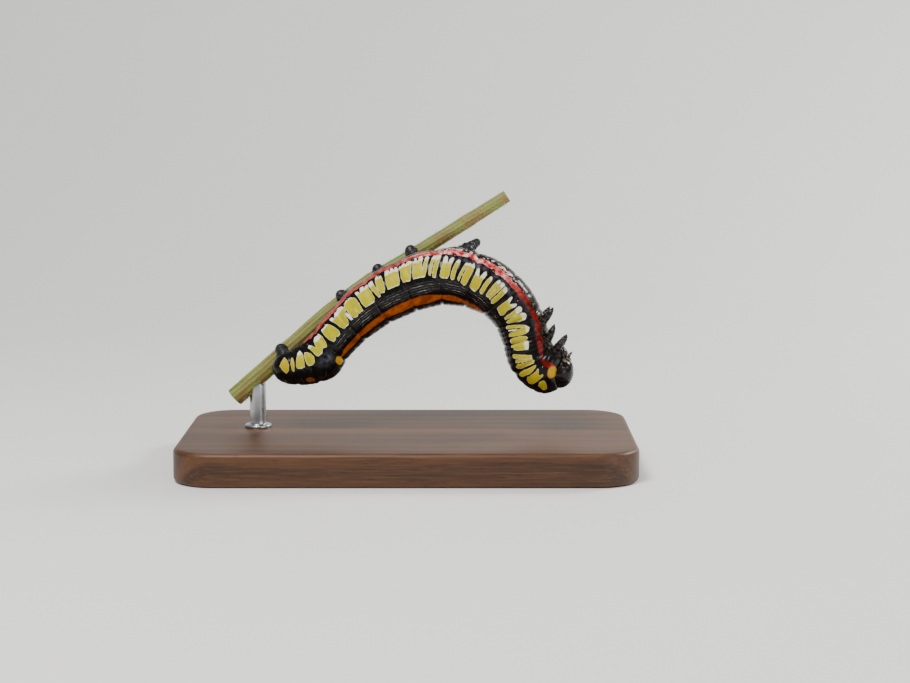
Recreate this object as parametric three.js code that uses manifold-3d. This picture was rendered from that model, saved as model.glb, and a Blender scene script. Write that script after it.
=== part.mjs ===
import * as THREE from "three";
import { mergeVertices } from "three/addons/utils/BufferGeometryUtils.js";
import Module from "manifold-3d";

// A full-grown owlet-moth larva on a cut length of goldenrod stem, on a small display stand.
// Millimetres, +Z up. The larva's arch lies in the XZ plane with its tail at -X and its head at +X.
// It hangs back down, so its back faces the inside of the arch and its legs face outwards.
// The origin is the centre of the underside of the stand's base.

const wasm = await Module();
wasm.setup();

const RAD = Math.PI / 180;
// The space that neighbouring pieces keep between their faces.
const GAP = 0.3;

// Body segments from tail to head. length runs along the body's axis and radius is half the width.
// pitch is the axis's rise and yaw its turn away from the viewer's side, both in degrees.
// roll turns the back from the viewer's side (0) to the inside of the arch (90).
const SEGMENTS = [
  { name: "abdomen_10", length: 2.7, radius: 1.85, pitch: -2, yaw: 7, roll: 40 },
  { name: "abdomen_9", length: 1.9, radius: 2.42, pitch: 18, yaw: 4, roll: 44 },
  { name: "abdomen_8", length: 3.2, radius: 2.60, pitch: 43, yaw: 1, roll: 46 },
  { name: "abdomen_7", length: 3.6, radius: 2.70, pitch: 47, yaw: -1, roll: 43 },
  { name: "abdomen_6", length: 4.2, radius: 2.95, pitch: 39, yaw: -2, roll: 38 },
  { name: "abdomen_5", length: 4.0, radius: 3.18, pitch: 27, yaw: -1, roll: 37 },
  { name: "abdomen_4", length: 4.0, radius: 3.36, pitch: 17, yaw: 0, roll: 39 },
  { name: "abdomen_3", length: 4.0, radius: 3.48, pitch: -4, yaw: 1, roll: 46 },
  { name: "abdomen_2", length: 3.9, radius: 3.48, pitch: -26, yaw: 1, roll: 62 },
  { name: "abdomen_1", length: 3.8, radius: 3.26, pitch: -52, yaw: 0, roll: 79 },
  { name: "thorax_3", length: 2.8, radius: 3.12, pitch: -71, yaw: -4, roll: 85 },
  { name: "thorax_2", length: 2.4, radius: 3.06, pitch: -69, yaw: -6, roll: 90 },
  { name: "thorax_1", length: 3.1, radius: 3.1, pitch: -25, yaw: -8, roll: 94 },
];
// The top of the arch, where segments 3 and 4 of the abdomen meet.
const ARCH_TOP = new THREE.Vector3(3.7, 0, 22.67);
// The flat of the belly and the roundness of the section, as shares of the radius and as an exponent.
const BELLY = 0.86;
const SECTION_POWER = 2.2;
// Depth of the fold between segments, as a share of the radius.
const FOLD = 0.075;
// The tail closes to a point over this length, and the hump on segment 8 stands this far out.
const TAIL_ROUND = 1.9;
// The collar behind the head rounds in over this length, by this share of its section.
const COLLAR_ROUND = 1.5;
const COLLAR_CLOSE = 0.58;
const HUMP_HEIGHT = 0.85;
const HUMP_LENGTH = 2.3;
const SIDES = 24;
const RINGS = 7;

const LEG_LENGTH = 2.1;
const LEG_BASE_RADIUS = 0.54;
// How far each pair of legs, from the first back, leans towards the head.
const LEG_LEAN = [0.25, -0.75, -0.6];
const PROLEG_BASE_RADIUS = 1.0;
const PROLEG_NECK_RADIUS = 0.66;
const PROLEG_FOOT_RADIUS = 0.8;
// How far a gripping foot stands to the side of the stem's middle.
const PROLEG_SPREAD = 1.15;
const TAIL_PROLEG_SPREAD = 1.7;
// How far forward each pair of prolegs reaches, by the number of its segment.
const PROLEG_SHIFTS = [[3, 2.5], [4, 0.3], [5, -0.1], [6, -1.1]];

const HEAD_RADIUS = 2.0;
const HEAD_DEPTH = 1.7;
// How far the head's centre stands in front of the collar's, and towards its own back.
const HEAD_AHEAD = 0.25;
const HEAD_DROP = 0.05;
const ANTENNA_LENGTH = 0.75;
const ANTENNA_RADIUS = 0.26;
const MANDIBLE_RADIUS = 0.6;
const STEMMA_RADIUS = 0.17;

// The line of the cut stem, from its low end to its high one, and its radius at either end.
const STEM_POINTS = [
  [-21.1, 2.2, 7.7],
  [-14.2, 2.6, 13.8],
  [-10.1, 3.0, 17.5],
  [-5.2, 3.3, 21.3],
  [0.3, 3.5, 24.7],
  [11.9, 3.6, 32.0],
];
const STEM_RADIUS_LOW = 1.15;
const STEM_RADIUS_HIGH = 0.75;

const BASE_WIDTH = 54;
const BASE_DEPTH = 30;
const BASE_HEIGHT = 4;
const BASE_CORNER = 5;
const BASE_BEVEL = 0.6;
const ROD_RADIUS = 1.0;
const ROD_X = -18.2;

const TOWARD_VIEWER = new THREE.Vector3(0, -1, 0);

// Where each segment starts along the body's axis, and the axis's whole length.
let run = 0;
for (const segment of SEGMENTS) {
  segment.start = run;
  run += segment.length;
}
const BODY_LENGTH = run;
const MIDDLES = SEGMENTS.map((g) => g.start + g.length / 2);

// A smooth value along the body from one value for each segment.
function along(key, s) {
  const last = MIDDLES.length - 1;
  const x = Math.min(Math.max(s, MIDDLES[0]), MIDDLES[last]);
  let i = 0;
  while (i < last - 1 && x > MIDDLES[i + 1]) i += 1;
  const value = (k) => SEGMENTS[Math.min(Math.max(k, 0), last)][key];
  const place = (k) => MIDDLES[Math.min(Math.max(k, 0), last)];
  const slope = (k) => (value(k + 1) - value(k - 1)) / (place(k + 1) - place(k - 1));
  const span = place(i + 1) - place(i);
  const t = (x - place(i)) / span;
  const t2 = t * t;
  const t3 = t2 * t;
  return (
    (2 * t3 - 3 * t2 + 1) * value(i) +
    (t3 - 2 * t2 + t) * span * slope(i) +
    (3 * t2 - 2 * t3) * value(i + 1) +
    (t3 - t2) * span * slope(i + 1)
  );
}

function directionAt(s) {
  const pitch = along("pitch", s) * RAD;
  const yaw = along("yaw", s) * RAD;
  return new THREE.Vector3(
    Math.cos(pitch) * Math.cos(yaw),
    Math.sin(yaw),
    Math.sin(pitch) * Math.cos(yaw),
  );
}

// The body's axis, walked in small steps and then moved so that the arch's top is in its place.
const STEP = 0.05;
const OVERRUN = 2;
const axisPoints = [new THREE.Vector3()];
for (let s = -OVERRUN; s < BODY_LENGTH + OVERRUN; s += STEP) {
  const next = directionAt(s + STEP / 2).multiplyScalar(STEP);
  axisPoints.push(next.add(axisPoints[axisPoints.length - 1]));
}
function walked(s) {
  const k = Math.min(Math.max((s + OVERRUN) / STEP, 0), axisPoints.length - 1.001);
  const i = Math.floor(k);
  return axisPoints[i].clone().lerp(axisPoints[i + 1], k - i);
}
const topShift = ARCH_TOP.clone().sub(walked(SEGMENTS[7].start));
const axisAt = (s) => walked(s).add(topShift);

// The axis point at s with the directions forward, back (dorsal) and left.
function frameAt(s) {
  const forward = directionAt(s);
  const pitch = along("pitch", s) * RAD;
  const roll = along("roll", s) * RAD;
  const inside = new THREE.Vector3(Math.sin(pitch), 0, -Math.cos(pitch));
  const back = TOWARD_VIEWER.clone().multiplyScalar(Math.cos(roll));
  back.addScaledVector(inside, Math.sin(roll));
  back.addScaledVector(forward, -back.dot(forward)).normalize();
  const left = back.clone().cross(forward);
  return { at: axisAt(s), forward, back, left };
}

// Half the body's width at s, with the folds between segments and the rounded tail.
function radiusAt(s) {
  const x = Math.min(Math.max(s, 0), BODY_LENGTH - 1e-6);
  const segment = SEGMENTS.findLast((g) => g.start <= x);
  const u = (x - segment.start) / segment.length;
  const fold = 1 - FOLD * Math.pow(Math.abs(2 * u - 1), 4);
  const short = Math.max(0, 1 - x / TAIL_ROUND);
  const close = Math.max(0, 1 - (BODY_LENGTH - x) / COLLAR_ROUND);
  const ends = (1 - short * short) * (1 - COLLAR_CLOSE * close * close);
  return along("radius", x) * fold * Math.sqrt(Math.max(0.02, ends));
}

const HUMP_AT = SEGMENTS[2].start + 0.42 * SEGMENTS[2].length;

// The distance from the axis to the skin at s, in the direction angle degrees round from the back.
function skinRadius(s, angle) {
  const wide = radiusAt(s);
  const c = Math.cos(angle);
  const tall = c > 0 ? 1 : BELLY;
  const round =
    Math.abs(Math.sin(angle)) ** SECTION_POWER + Math.abs(c / tall) ** SECTION_POWER;
  const reach = Math.exp(-(((s - HUMP_AT) / HUMP_LENGTH) ** 2) * 2);
  const hump = HUMP_HEIGHT * reach * Math.max(0, c) ** 2;
  return wide / round ** (1 / SECTION_POWER) + hump;
}

function skinPoint(s, angle, grow = 0) {
  const f = frameAt(s);
  const r = skinRadius(s, angle) + grow;
  return f.at
    .addScaledVector(f.back, r * Math.cos(angle))
    .addScaledVector(f.left, r * Math.sin(angle));
}

// The volume inside a closed geometry, negative where its faces point inwards.
function signedVolume(geometry) {
  const place = geometry.getAttribute("position");
  const corner = (i) => new THREE.Vector3().fromBufferAttribute(place, geometry.index.getX(i));
  let sum = 0;
  for (let i = 0; i < geometry.index.count; i += 3) {
    sum += corner(i).dot(corner(i + 1).cross(corner(i + 2))) / 6;
  }
  return sum;
}

// A closed geometry through rings of points, with a flat or pointed end at either side.
function loft(rings) {
  const n = rings[0].length;
  const points = rings.flat();
  const faces = [];
  for (let i = 0; i < rings.length - 1; i += 1) {
    for (let k = 0; k < n; k += 1) {
      const a = i * n + k;
      const b = i * n + ((k + 1) % n);
      faces.push(a, b, a + n, b, b + n, a + n);
    }
  }
  const first = points.length;
  const middle = (ring) =>
    ring.reduce((sum, p) => sum.add(p), new THREE.Vector3()).divideScalar(ring.length);
  points.push(middle(rings[0]), middle(rings[rings.length - 1]));
  const end = (rings.length - 1) * n;
  for (let k = 0; k < n; k += 1) {
    faces.push(first, (k + 1) % n, k);
    faces.push(first + 1, end + k, end + ((k + 1) % n));
  }
  const geometry = new THREE.BufferGeometry().setFromPoints(points);
  geometry.setIndex(faces);
  if (signedVolume(geometry) < 0) geometry.index.array.reverse();
  return geometry;
}

function toSolid(geometry) {
  const bare = new THREE.BufferGeometry();
  bare.setAttribute("position", geometry.getAttribute("position"));
  if (geometry.index) bare.setIndex(geometry.index);
  const merged = mergeVertices(bare, 1e-4);
  if (signedVolume(merged) < 0) merged.index.array.reverse();
  return new wasm.Manifold(
    new wasm.Mesh({
      numProp: 3,
      vertProperties: merged.attributes.position.array,
      triVerts: new Uint32Array(merged.index.array),
    }),
  );
}

// Keeps the largest closed surface of a solid as a geometry.
function toGeometry(solid) {
  const parts = solid.decompose();
  parts.sort((a, b) => b.volume() - a.volume());
  const mesh = parts[0].getMesh();
  const positions = new Float32Array(mesh.numVert * 3);
  for (let i = 0; i < mesh.numVert; i += 1) {
    const from = i * mesh.numProp;
    positions.set(mesh.vertProperties.subarray(from, from + 3), i * 3);
  }
  const geometry = new THREE.BufferGeometry();
  geometry.setAttribute("position", new THREE.BufferAttribute(positions, 3));
  geometry.setIndex(new THREE.BufferAttribute(new Uint32Array(mesh.triVerts), 1));
  geometry.computeVertexNormals();
  return geometry;
}

// A ring round a point, square to a direction.
function ringRound(centre, axis, radius, count, flat = 1, up = TOWARD_VIEWER) {
  const side = axis.clone().cross(up).normalize();
  const over = side.clone().cross(axis).normalize();
  return Array.from({ length: count }, (_, k) => {
    const a = (2 * Math.PI * k) / count;
    return centre
      .clone()
      .addScaledVector(side, radius * Math.cos(a))
      .addScaledVector(over, radius * flat * Math.sin(a));
  });
}

// A tapered round piece along a list of [point, radius] pairs.
function taper(stations, count) {
  const rings = stations.map(([centre, radius], i) => {
    const before = stations[Math.max(i - 1, 0)][0];
    const after = stations[Math.min(i + 1, stations.length - 1)][0];
    return ringRound(centre, after.clone().sub(before).normalize(), radius, count);
  });
  return loft(rings);
}

const model = new THREE.Group();
function addNode(name, geometry, material) {
  const mesh = new THREE.Mesh(geometry, material);
  mesh.name = name;
  model.add(mesh);
}

const black = new THREE.MeshStandardMaterial({ color: 0x14110f, roughness: 0.3 });
const flank = new THREE.MeshStandardMaterial({ color: 0xe8d23a, roughness: 0.38 });
const stemGreen = new THREE.MeshStandardMaterial({ color: 0x7d8a3c, roughness: 0.75 });
const wood = new THREE.MeshStandardMaterial({ color: 0x5b4030, roughness: 0.55 });
const steel = new THREE.MeshStandardMaterial({
  color: 0xb9bcc0,
  roughness: 0.3,
  metalness: 1,
});

// The body from s0 to s1 as a closed sweep, grown by a margin.
function sweep(s0, s1, rings, sides, grow = 0) {
  const list = Array.from({ length: rings }, (_, i) => {
    const s = s0 + ((s1 - s0) * i) / (rings - 1);
    return Array.from({ length: sides }, (_, k) =>
      skinPoint(s, (2 * Math.PI * k) / sides, grow),
    );
  });
  return loft(list);
}

// Segments. The tail's rings crowd towards its rounded end.
function addSegments() {
  for (const segment of SEGMENTS) {
    const s0 = segment.start + (segment.start > 0 ? GAP / 2 : 0);
    const s1 = segment.start + segment.length - GAP / 2;
    addNode(segment.name, sweep(s0, s1, RINGS, SIDES), flank);
  }
}

const bodyCutter = toSolid(sweep(-GAP, BODY_LENGTH + GAP, 60, SIDES, GAP));

// Stem.
const stemCurve = new THREE.CatmullRomCurve3(
  STEM_POINTS.map((point) => new THREE.Vector3(...point)),
);
function stemGeometry(grow) {
  const count = 18;
  const stations = Array.from({ length: count }, (_, i) => {
    const t = i / (count - 1);
    const radius = THREE.MathUtils.lerp(STEM_RADIUS_LOW, STEM_RADIUS_HIGH, t);
    return [stemCurve.getPointAt(t), radius + grow];
  });
  return taper(stations, 12);
}
const stemCutter = toSolid(stemGeometry(GAP));

function stemNear(point) {
  let best = stemCurve.getPointAt(0);
  for (let i = 0; i <= 200; i += 1) {
    const p = stemCurve.getPointAt(i / 200);
    if (p.distanceTo(point) < best.distanceTo(point)) best = p;
  }
  return best;
}

// A block that fills one side of the body's middle plane, from half a gap outwards.
function sideBlock(at, forward, left, back, side) {
  const size = 12;
  const block = new THREE.BoxGeometry(size, size, size);
  block.applyMatrix4(new THREE.Matrix4().makeBasis(forward, left, back));
  const middle = at.clone().addScaledVector(left, side * (size / 2 + GAP / 2));
  block.translate(middle.x, middle.y, middle.z);
  return toSolid(block);
}

// Prolegs: four pairs in the middle of the abdomen and one pair at the tail.
function addProleg(name, s, side, target, spread) {
  const f = frameAt(s);
  const ownSide = sideBlock(f.at, f.forward, f.left, f.back, side);
  const angle = Math.PI - side * 34 * RAD;
  const root = skinPoint(s, angle, -1.0);
  const foot = target.clone().addScaledVector(f.left, side * spread);
  const reach = foot.clone().sub(root);
  const at = (t) => root.clone().addScaledVector(reach, t);
  const geometry = taper(
    [
      [at(0), PROLEG_BASE_RADIUS],
      [at(0.35), PROLEG_BASE_RADIUS * 0.92],
      [at(0.62), PROLEG_NECK_RADIUS],
      [at(0.84), PROLEG_FOOT_RADIUS],
      [at(1), PROLEG_FOOT_RADIUS * 0.8],
    ],
    12,
  );
  const whole = toSolid(geometry).intersect(ownSide);
  const solid = whole.subtract(bodyCutter).subtract(stemCutter);
  addNode(name, toGeometry(solid), black);
}

function addProlegs() {
  for (const [number, shift] of PROLEG_SHIFTS) {
    const segment = SEGMENTS.find((g) => g.name === `abdomen_${number}`);
    const s = segment.start + 0.5 * segment.length;
    const f = frameAt(s);
    const free = number === 3;
    const hang = f.at.clone().addScaledVector(f.back, -4.5).addScaledVector(f.forward, shift);
    const target = free ? hang : stemNear(f.at.clone().addScaledVector(f.forward, shift));
    for (const [word, side] of [["left", 1], ["right", -1]]) {
      addProleg(`proleg_${number}_${word}`, s, side, target, free ? 1.35 : PROLEG_SPREAD);
    }
  }
  const s = SEGMENTS[0].start + 0.62 * SEGMENTS[0].length;
  const target = stemNear(frameAt(s).at);
  for (const [word, side] of [["left", 1], ["right", -1]]) {
    addProleg(`proleg_10_${word}`, s, side, target, TAIL_PROLEG_SPREAD);
  }
}

// Head: its own frame, set in the front of the first segment of the thorax.
const neck = frameAt(BODY_LENGTH);
const HEAD_PITCH = 8 * RAD;
const HEAD_YAW = -8 * RAD;
const headForward = new THREE.Vector3(
  Math.cos(HEAD_PITCH) * Math.cos(HEAD_YAW),
  Math.sin(HEAD_YAW),
  Math.sin(HEAD_PITCH) * Math.cos(HEAD_YAW),
);
const headBack = new THREE.Vector3(Math.sin(HEAD_PITCH), 0, -Math.cos(HEAD_PITCH));
headBack.addScaledVector(headForward, -headBack.dot(headForward)).normalize();
const headLeft = headBack.clone().cross(headForward);
const headCentre = neck.at
  .clone()
  .addScaledVector(headForward, HEAD_AHEAD)
  .addScaledVector(headBack, HEAD_DROP);

// A point in the head's frame: forward, left and back (dorsal).
function headPoint(x, y, z) {
  return headCentre
    .clone()
    .addScaledVector(headForward, x)
    .addScaledVector(headLeft, y)
    .addScaledVector(headBack, z);
}

// The capsule's surface in a direction given by its unit parts forward, left and back.
function capsulePoint(dx, dy, dz, grow = 0) {
  const low = Math.max(0, -dz);
  const groove = 0.07 * Math.exp(-((dy / 0.14) ** 2)) * Math.max(0, dz + 0.3);
  const lobe = 1 + 0.05 * Math.abs(dy) - groove;
  const x = (HEAD_DEPTH * lobe + 0.25 * low + grow) * dx;
  const y = (HEAD_RADIUS * lobe * (1 - 0.26 * low * low) + grow) * dy;
  const z = (HEAD_RADIUS * lobe * 0.98 + grow) * dz;
  return headPoint(x, y, z);
}

function capsule(grow) {
  const rows = 14;
  const columns = 24;
  const rings = Array.from({ length: rows }, (_, i) => {
    const tilt = Math.PI * (0.03 + (0.94 * i) / (rows - 1));
    return Array.from({ length: columns }, (_, k) => {
      const turn = (2 * Math.PI * k) / columns;
      const across = Math.sin(tilt);
      return capsulePoint(
        across * Math.cos(turn),
        across * Math.sin(turn),
        -Math.cos(tilt),
        grow,
      );
    });
  });
  return loft(rings);
}

const headCutter = toSolid(capsule(GAP));

// Legs: one pair on each segment of the thorax, jointed, hooked at the tip.
function addLegs() {
  for (const number of [1, 2, 3]) {
    const segment = SEGMENTS.find((g) => g.name === `thorax_${number}`);
    const s = segment.start + 0.55 * segment.length;
    const f = frameAt(s);
    for (const [word, side] of [["left", 1], ["right", -1]]) {
      const root = skinPoint(s, Math.PI - side * 38 * RAD, -0.8);
      const out = f.back.clone().multiplyScalar(-1).addScaledVector(f.left, side * 0.5);
      out.addScaledVector(f.forward, LEG_LEAN[number - 1]).normalize();
      const hook = f.left.clone().multiplyScalar(-side * 0.45).addScaledVector(f.forward, -0.2);
      const at = (t, bend) =>
        root.clone().addScaledVector(out, t * (LEG_LENGTH + 0.8)).addScaledVector(hook, bend);
      const geometry = taper(
        [
          [at(0, 0), LEG_BASE_RADIUS],
          [at(0.3, 0), LEG_BASE_RADIUS],
          [at(0.46, 0.03), LEG_BASE_RADIUS * 0.76],
          [at(0.6, 0.1), LEG_BASE_RADIUS * 0.74],
          [at(0.75, 0.3), LEG_BASE_RADIUS * 0.55],
          [at(0.88, 0.6), LEG_BASE_RADIUS * 0.45],
          [at(0.97, 1.0), LEG_BASE_RADIUS * 0.16],
        ],
        10,
      );
      const solid = toSolid(geometry).subtract(bodyCutter).subtract(headCutter);
      addNode(`leg_${number}_${word}`, toGeometry(solid), black);
    }
  }
}

// The direction in the head's frame at degrees to the side and degrees up from straight ahead.
function headDirection(aside, up) {
  return [
    Math.cos(up * RAD) * Math.cos(aside * RAD),
    Math.cos(up * RAD) * Math.sin(aside * RAD),
    Math.sin(up * RAD),
  ];
}

function ball(centre, radius, detail = 8) {
  const sphere = new THREE.SphereGeometry(radius, detail, detail / 2);
  sphere.translate(centre.x, centre.y, centre.z);
  return toSolid(sphere);
}

function addHead() {
  let head = toSolid(capsule(0));
  // Six simple eyes on each side in an arc above the jaw's hinge.
  for (const side of [1, -1]) {
    for (let k = 0; k < 6; k += 1) {
      const bend = (k / 5) * 150 - 40;
      const aside = 62 + 11 * Math.cos(bend * RAD) - (k === 5 ? 8 : 0);
      const up = -30 + 14 * Math.sin(bend * RAD);
      const centre = capsulePoint(...headDirection(side * aside, up), -0.06);
      head = head.add(ball(centre, STEMMA_RADIUS, 6));
    }
  }
  // The upper lip, a small plate under the face.
  const lip = new THREE.SphereGeometry(0.62, 12, 8);
  lip.scale(0.62, 1.15, 0.7);
  const basis = new THREE.Matrix4().makeBasis(headForward, headLeft, headBack);
  lip.applyMatrix4(basis);
  const lipAt = capsulePoint(...headDirection(0, -52), -0.12);
  lip.translate(lipAt.x, lipAt.y, lipAt.z);
  head = head.add(toSolid(lip)).subtract(bodyCutter);
  addNode("head", toGeometry(head), black);
  const lipSpace = lip.clone().translate(-lipAt.x, -lipAt.y, -lipAt.z).scale(1.5, 1.5, 1.5);
  const mouthCutter = headCutter.add(toSolid(lipSpace.translate(lipAt.x, lipAt.y, lipAt.z)));
  for (const [word, side] of [["left", 1], ["right", -1]]) {
    // Jaws.
    const jaw = new THREE.SphereGeometry(MANDIBLE_RADIUS, 12, 8);
    jaw.scale(0.9, 0.78, 1.5).applyMatrix4(basis);
    const jawAt = capsulePoint(...headDirection(side * 17, -68), 0.28);
    jaw.translate(jawAt.x, jawAt.y, jawAt.z);
    const ownSide = sideBlock(headCentre, headForward, headLeft, headBack, side);
    const cut = toSolid(jaw).intersect(ownSide).subtract(mouthCutter).subtract(bodyCutter);
    addNode(`mandible_${word}`, toGeometry(cut), black);
    // Antennae.
    const way = new THREE.Vector3()
      .addScaledVector(headForward, 0.75)
      .addScaledVector(headLeft, side * 0.45)
      .addScaledVector(headBack, -0.55)
      .normalize();
    const root = capsulePoint(...headDirection(side * 47, -48), -0.3);
    const at = (t) => root.clone().addScaledVector(way, t);
    const feeler = taper(
      [
        [at(0), ANTENNA_RADIUS * 1.5],
        [at(0.6), ANTENNA_RADIUS * 1.35],
        [at(0.8), ANTENNA_RADIUS],
        [at(0.6 + ANTENNA_LENGTH * 0.85), ANTENNA_RADIUS],
        [at(0.6 + ANTENNA_LENGTH), ANTENNA_RADIUS * 0.4],
      ],
      8,
    );
    addNode(`antenna_${word}`, toGeometry(toSolid(feeler).subtract(mouthCutter)), black);
  }
}

// Stand: a flat base with rounded corners, and one rod up to the stem.
function addStand() {
  const shape = new THREE.Shape();
  const w = BASE_WIDTH / 2 - BASE_BEVEL;
  const d = BASE_DEPTH / 2 - BASE_BEVEL;
  const c = BASE_CORNER - BASE_BEVEL;
  shape.absarc(w - c, d - c, c, 0, Math.PI / 2);
  shape.absarc(-w + c, d - c, c, Math.PI / 2, Math.PI);
  shape.absarc(-w + c, -d + c, c, Math.PI, 1.5 * Math.PI);
  shape.absarc(w - c, -d + c, c, 1.5 * Math.PI, 2 * Math.PI);
  const base = new THREE.ExtrudeGeometry(shape, {
    depth: BASE_HEIGHT - 2 * BASE_BEVEL,
    bevelSize: BASE_BEVEL,
    bevelThickness: BASE_BEVEL,
    bevelSegments: 2,
    curveSegments: 6,
  });
  base.translate(0, 0, BASE_BEVEL);
  addNode("stand_base", toGeometry(toSolid(base)), wood);
  const top = stemNear(new THREE.Vector3(ROD_X, STEM_POINTS[0][1], 10));
  const foot = top.clone().setZ(BASE_HEIGHT + GAP);
  const rod = toSolid(taper([[foot, ROD_RADIUS], [top, ROD_RADIUS]], 16));
  addNode("stand_rod", toGeometry(rod.subtract(stemCutter)), steel);
}

addSegments();
addProlegs();
addLegs();
addHead();
addNode("perch_stem", stemGeometry(0), stemGreen);
addStand();

export default model;
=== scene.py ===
"""A full-grown owlet-moth larva on a cut length of goldenrod stem, on a small display stand.

Lengths in the shape code are millimetres, in the CAD model's frame, and become metres in piece().
"""

import math
import random

import bpy
import numpy as np
from mathutils import Matrix


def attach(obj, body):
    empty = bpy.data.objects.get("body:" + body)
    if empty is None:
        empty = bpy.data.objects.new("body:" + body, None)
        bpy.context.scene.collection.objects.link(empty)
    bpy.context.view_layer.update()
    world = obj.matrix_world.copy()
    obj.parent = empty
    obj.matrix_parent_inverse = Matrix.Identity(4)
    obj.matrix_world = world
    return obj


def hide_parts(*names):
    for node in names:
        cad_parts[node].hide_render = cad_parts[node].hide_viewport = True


MM = 0.001
random.seed(7)

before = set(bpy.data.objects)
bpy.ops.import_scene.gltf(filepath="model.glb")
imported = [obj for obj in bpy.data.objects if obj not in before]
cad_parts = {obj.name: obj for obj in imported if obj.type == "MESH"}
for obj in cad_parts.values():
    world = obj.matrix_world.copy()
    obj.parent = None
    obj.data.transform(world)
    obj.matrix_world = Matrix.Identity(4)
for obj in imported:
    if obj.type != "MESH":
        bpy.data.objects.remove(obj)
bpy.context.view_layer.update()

# Body segments from tail to head: length, half the width, rise, turn away from the viewer, roll.
SEGMENTS = [
    ("abdomen_10", 2.7, 1.85, -2, 7, 40),
    ("abdomen_9", 1.9, 2.42, 18, 4, 44),
    ("abdomen_8", 3.2, 2.60, 43, 1, 46),
    ("abdomen_7", 3.6, 2.70, 47, -1, 43),
    ("abdomen_6", 4.2, 2.95, 39, -2, 38),
    ("abdomen_5", 4.0, 3.18, 27, -1, 37),
    ("abdomen_4", 4.0, 3.36, 17, 0, 39),
    ("abdomen_3", 4.0, 3.48, -4, 1, 46),
    ("abdomen_2", 3.9, 3.48, -26, 1, 62),
    ("abdomen_1", 3.8, 3.26, -52, 0, 79),
    ("thorax_3", 2.8, 3.12, -71, -4, 85),
    ("thorax_2", 2.4, 3.06, -69, -6, 90),
    ("thorax_1", 3.1, 3.24, -25, -8, 94),
]
# The axis point where this segment of the list begins, at the top of the arch.
ARCH_TOP = np.array([3.7, 0, 22.67])
ARCH_SEGMENT = 7
# The belly's height as a share of the back's, and the power of the section's rounded outline.
BELLY = 0.86
SECTION_POWER = 2.2
# How much each segment narrows towards its ends, as a share of its radius.
FOLD = 0.075
# How the body's two ends round off, how the back leans over the head, and the hump on abdomen_8.
TAIL_ROUND = 1.9
COLLAR_ROUND = 1.1
COLLAR_CLOSE = 0.57
HOOD_REACH = 0.95
HOOD_LENGTH = 1.8
HUMP_HEIGHT = 0.85
HUMP_LENGTH = 2.3

NAMES = [g[0] for g in SEGMENTS]
LENGTHS = np.array([g[1] for g in SEGMENTS])
STARTS = np.concatenate([[0], np.cumsum(LENGTHS)])
BODY_LENGTH = float(STARTS[-1])
MIDDLES = STARTS[:-1] + LENGTHS / 2
HUMP_AT = STARTS[2] + 0.42 * LENGTHS[2]
RADIUS, PITCH, YAW, ROLL = (np.array([g[k] for g in SEGMENTS], float) for k in (2, 3, 4, 5))


def along(values, s):
    """A smooth value along the body from one value for each segment."""
    last = len(MIDDLES) - 1
    x = np.clip(np.asarray(s, float), MIDDLES[0], MIDDLES[last])
    i = np.clip(np.searchsorted(MIDDLES, x, side="right") - 1, 0, last - 1)

    def slope(k):
        after = np.clip(k + 1, 0, last)
        before = np.clip(k - 1, 0, last)
        return (values[after] - values[before]) / (MIDDLES[after] - MIDDLES[before])

    span = MIDDLES[i + 1] - MIDDLES[i]
    t = (x - MIDDLES[i]) / span
    return (
        (2 * t**3 - 3 * t**2 + 1) * values[i]
        + (t**3 - 2 * t**2 + t) * span * slope(i)
        + (3 * t**2 - 2 * t**3) * values[i + 1]
        + (t**3 - t**2) * span * slope(i + 1)
    )


def direction(s):
    """The axis's unit direction towards the head."""
    pitch = np.radians(along(PITCH, s))
    yaw = np.radians(along(YAW, s))
    return np.stack([np.cos(pitch) * np.cos(yaw), np.sin(yaw), np.sin(pitch) * np.cos(yaw)], -1)


STEP = 0.05
OVERRUN = 2.0
walk = np.arange(-OVERRUN, BODY_LENGTH + OVERRUN, STEP)
walk_points = np.vstack([np.zeros(3), np.cumsum(direction(walk + STEP / 2) * STEP, 0)])


def walked(s):
    """The axis point at s, before the body is moved into place."""
    k = np.clip((np.asarray(s, float) + OVERRUN) / STEP, 0, len(walk_points) - 1.001)
    i = np.floor(k).astype(int)
    part = (k - i)[..., None]
    return walk_points[i] * (1 - part) + walk_points[i + 1] * part


def unit(v):
    v = np.asarray(v, float)
    return v / np.linalg.norm(v, axis=-1, keepdims=True)


def body_frame(s):
    """The axis point at s and the directions forward, back (dorsal) and left."""
    s = np.asarray(s, float)
    forward = direction(s)
    pitch = np.radians(along(PITCH, s))
    roll = np.radians(along(ROLL, s))
    inside = np.stack([np.sin(pitch), np.zeros_like(pitch), -np.cos(pitch)], -1)
    back = np.array([0.0, -1.0, 0.0]) * np.cos(roll)[..., None]
    back = back + inside * np.sin(roll)[..., None]
    back = unit(back - forward * (back * forward).sum(-1, keepdims=True))
    at = walked(s) + ARCH_TOP - walked(STARTS[ARCH_SEGMENT])
    return at, forward, back, np.cross(back, forward)


def segment_at(s):
    """The index of the segment at s and the place in it from 0 to 1."""
    x = np.clip(s, 0, BODY_LENGTH - 1e-6)
    i = np.clip(np.searchsorted(STARTS, x, side="right") - 1, 0, len(SEGMENTS) - 1)
    return i, (x - STARTS[i]) / LENGTHS[i]


def body_radius(s):
    """Half the body's width at s, with its folds and closed ends."""
    x = np.clip(s, 0, BODY_LENGTH - 1e-6)
    _, u = segment_at(s)
    fold = 1 - FOLD * np.abs(2 * u - 1) ** 4
    short = np.maximum(0, 1 - x / TAIL_ROUND)
    close = np.maximum(0, 1 - (BODY_LENGTH - x) / COLLAR_ROUND)
    ends = (1 - short**2) * (1 - COLLAR_CLOSE * close**2)
    return along(RADIUS, x) * fold * np.sqrt(np.maximum(0.003, ends))


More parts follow.
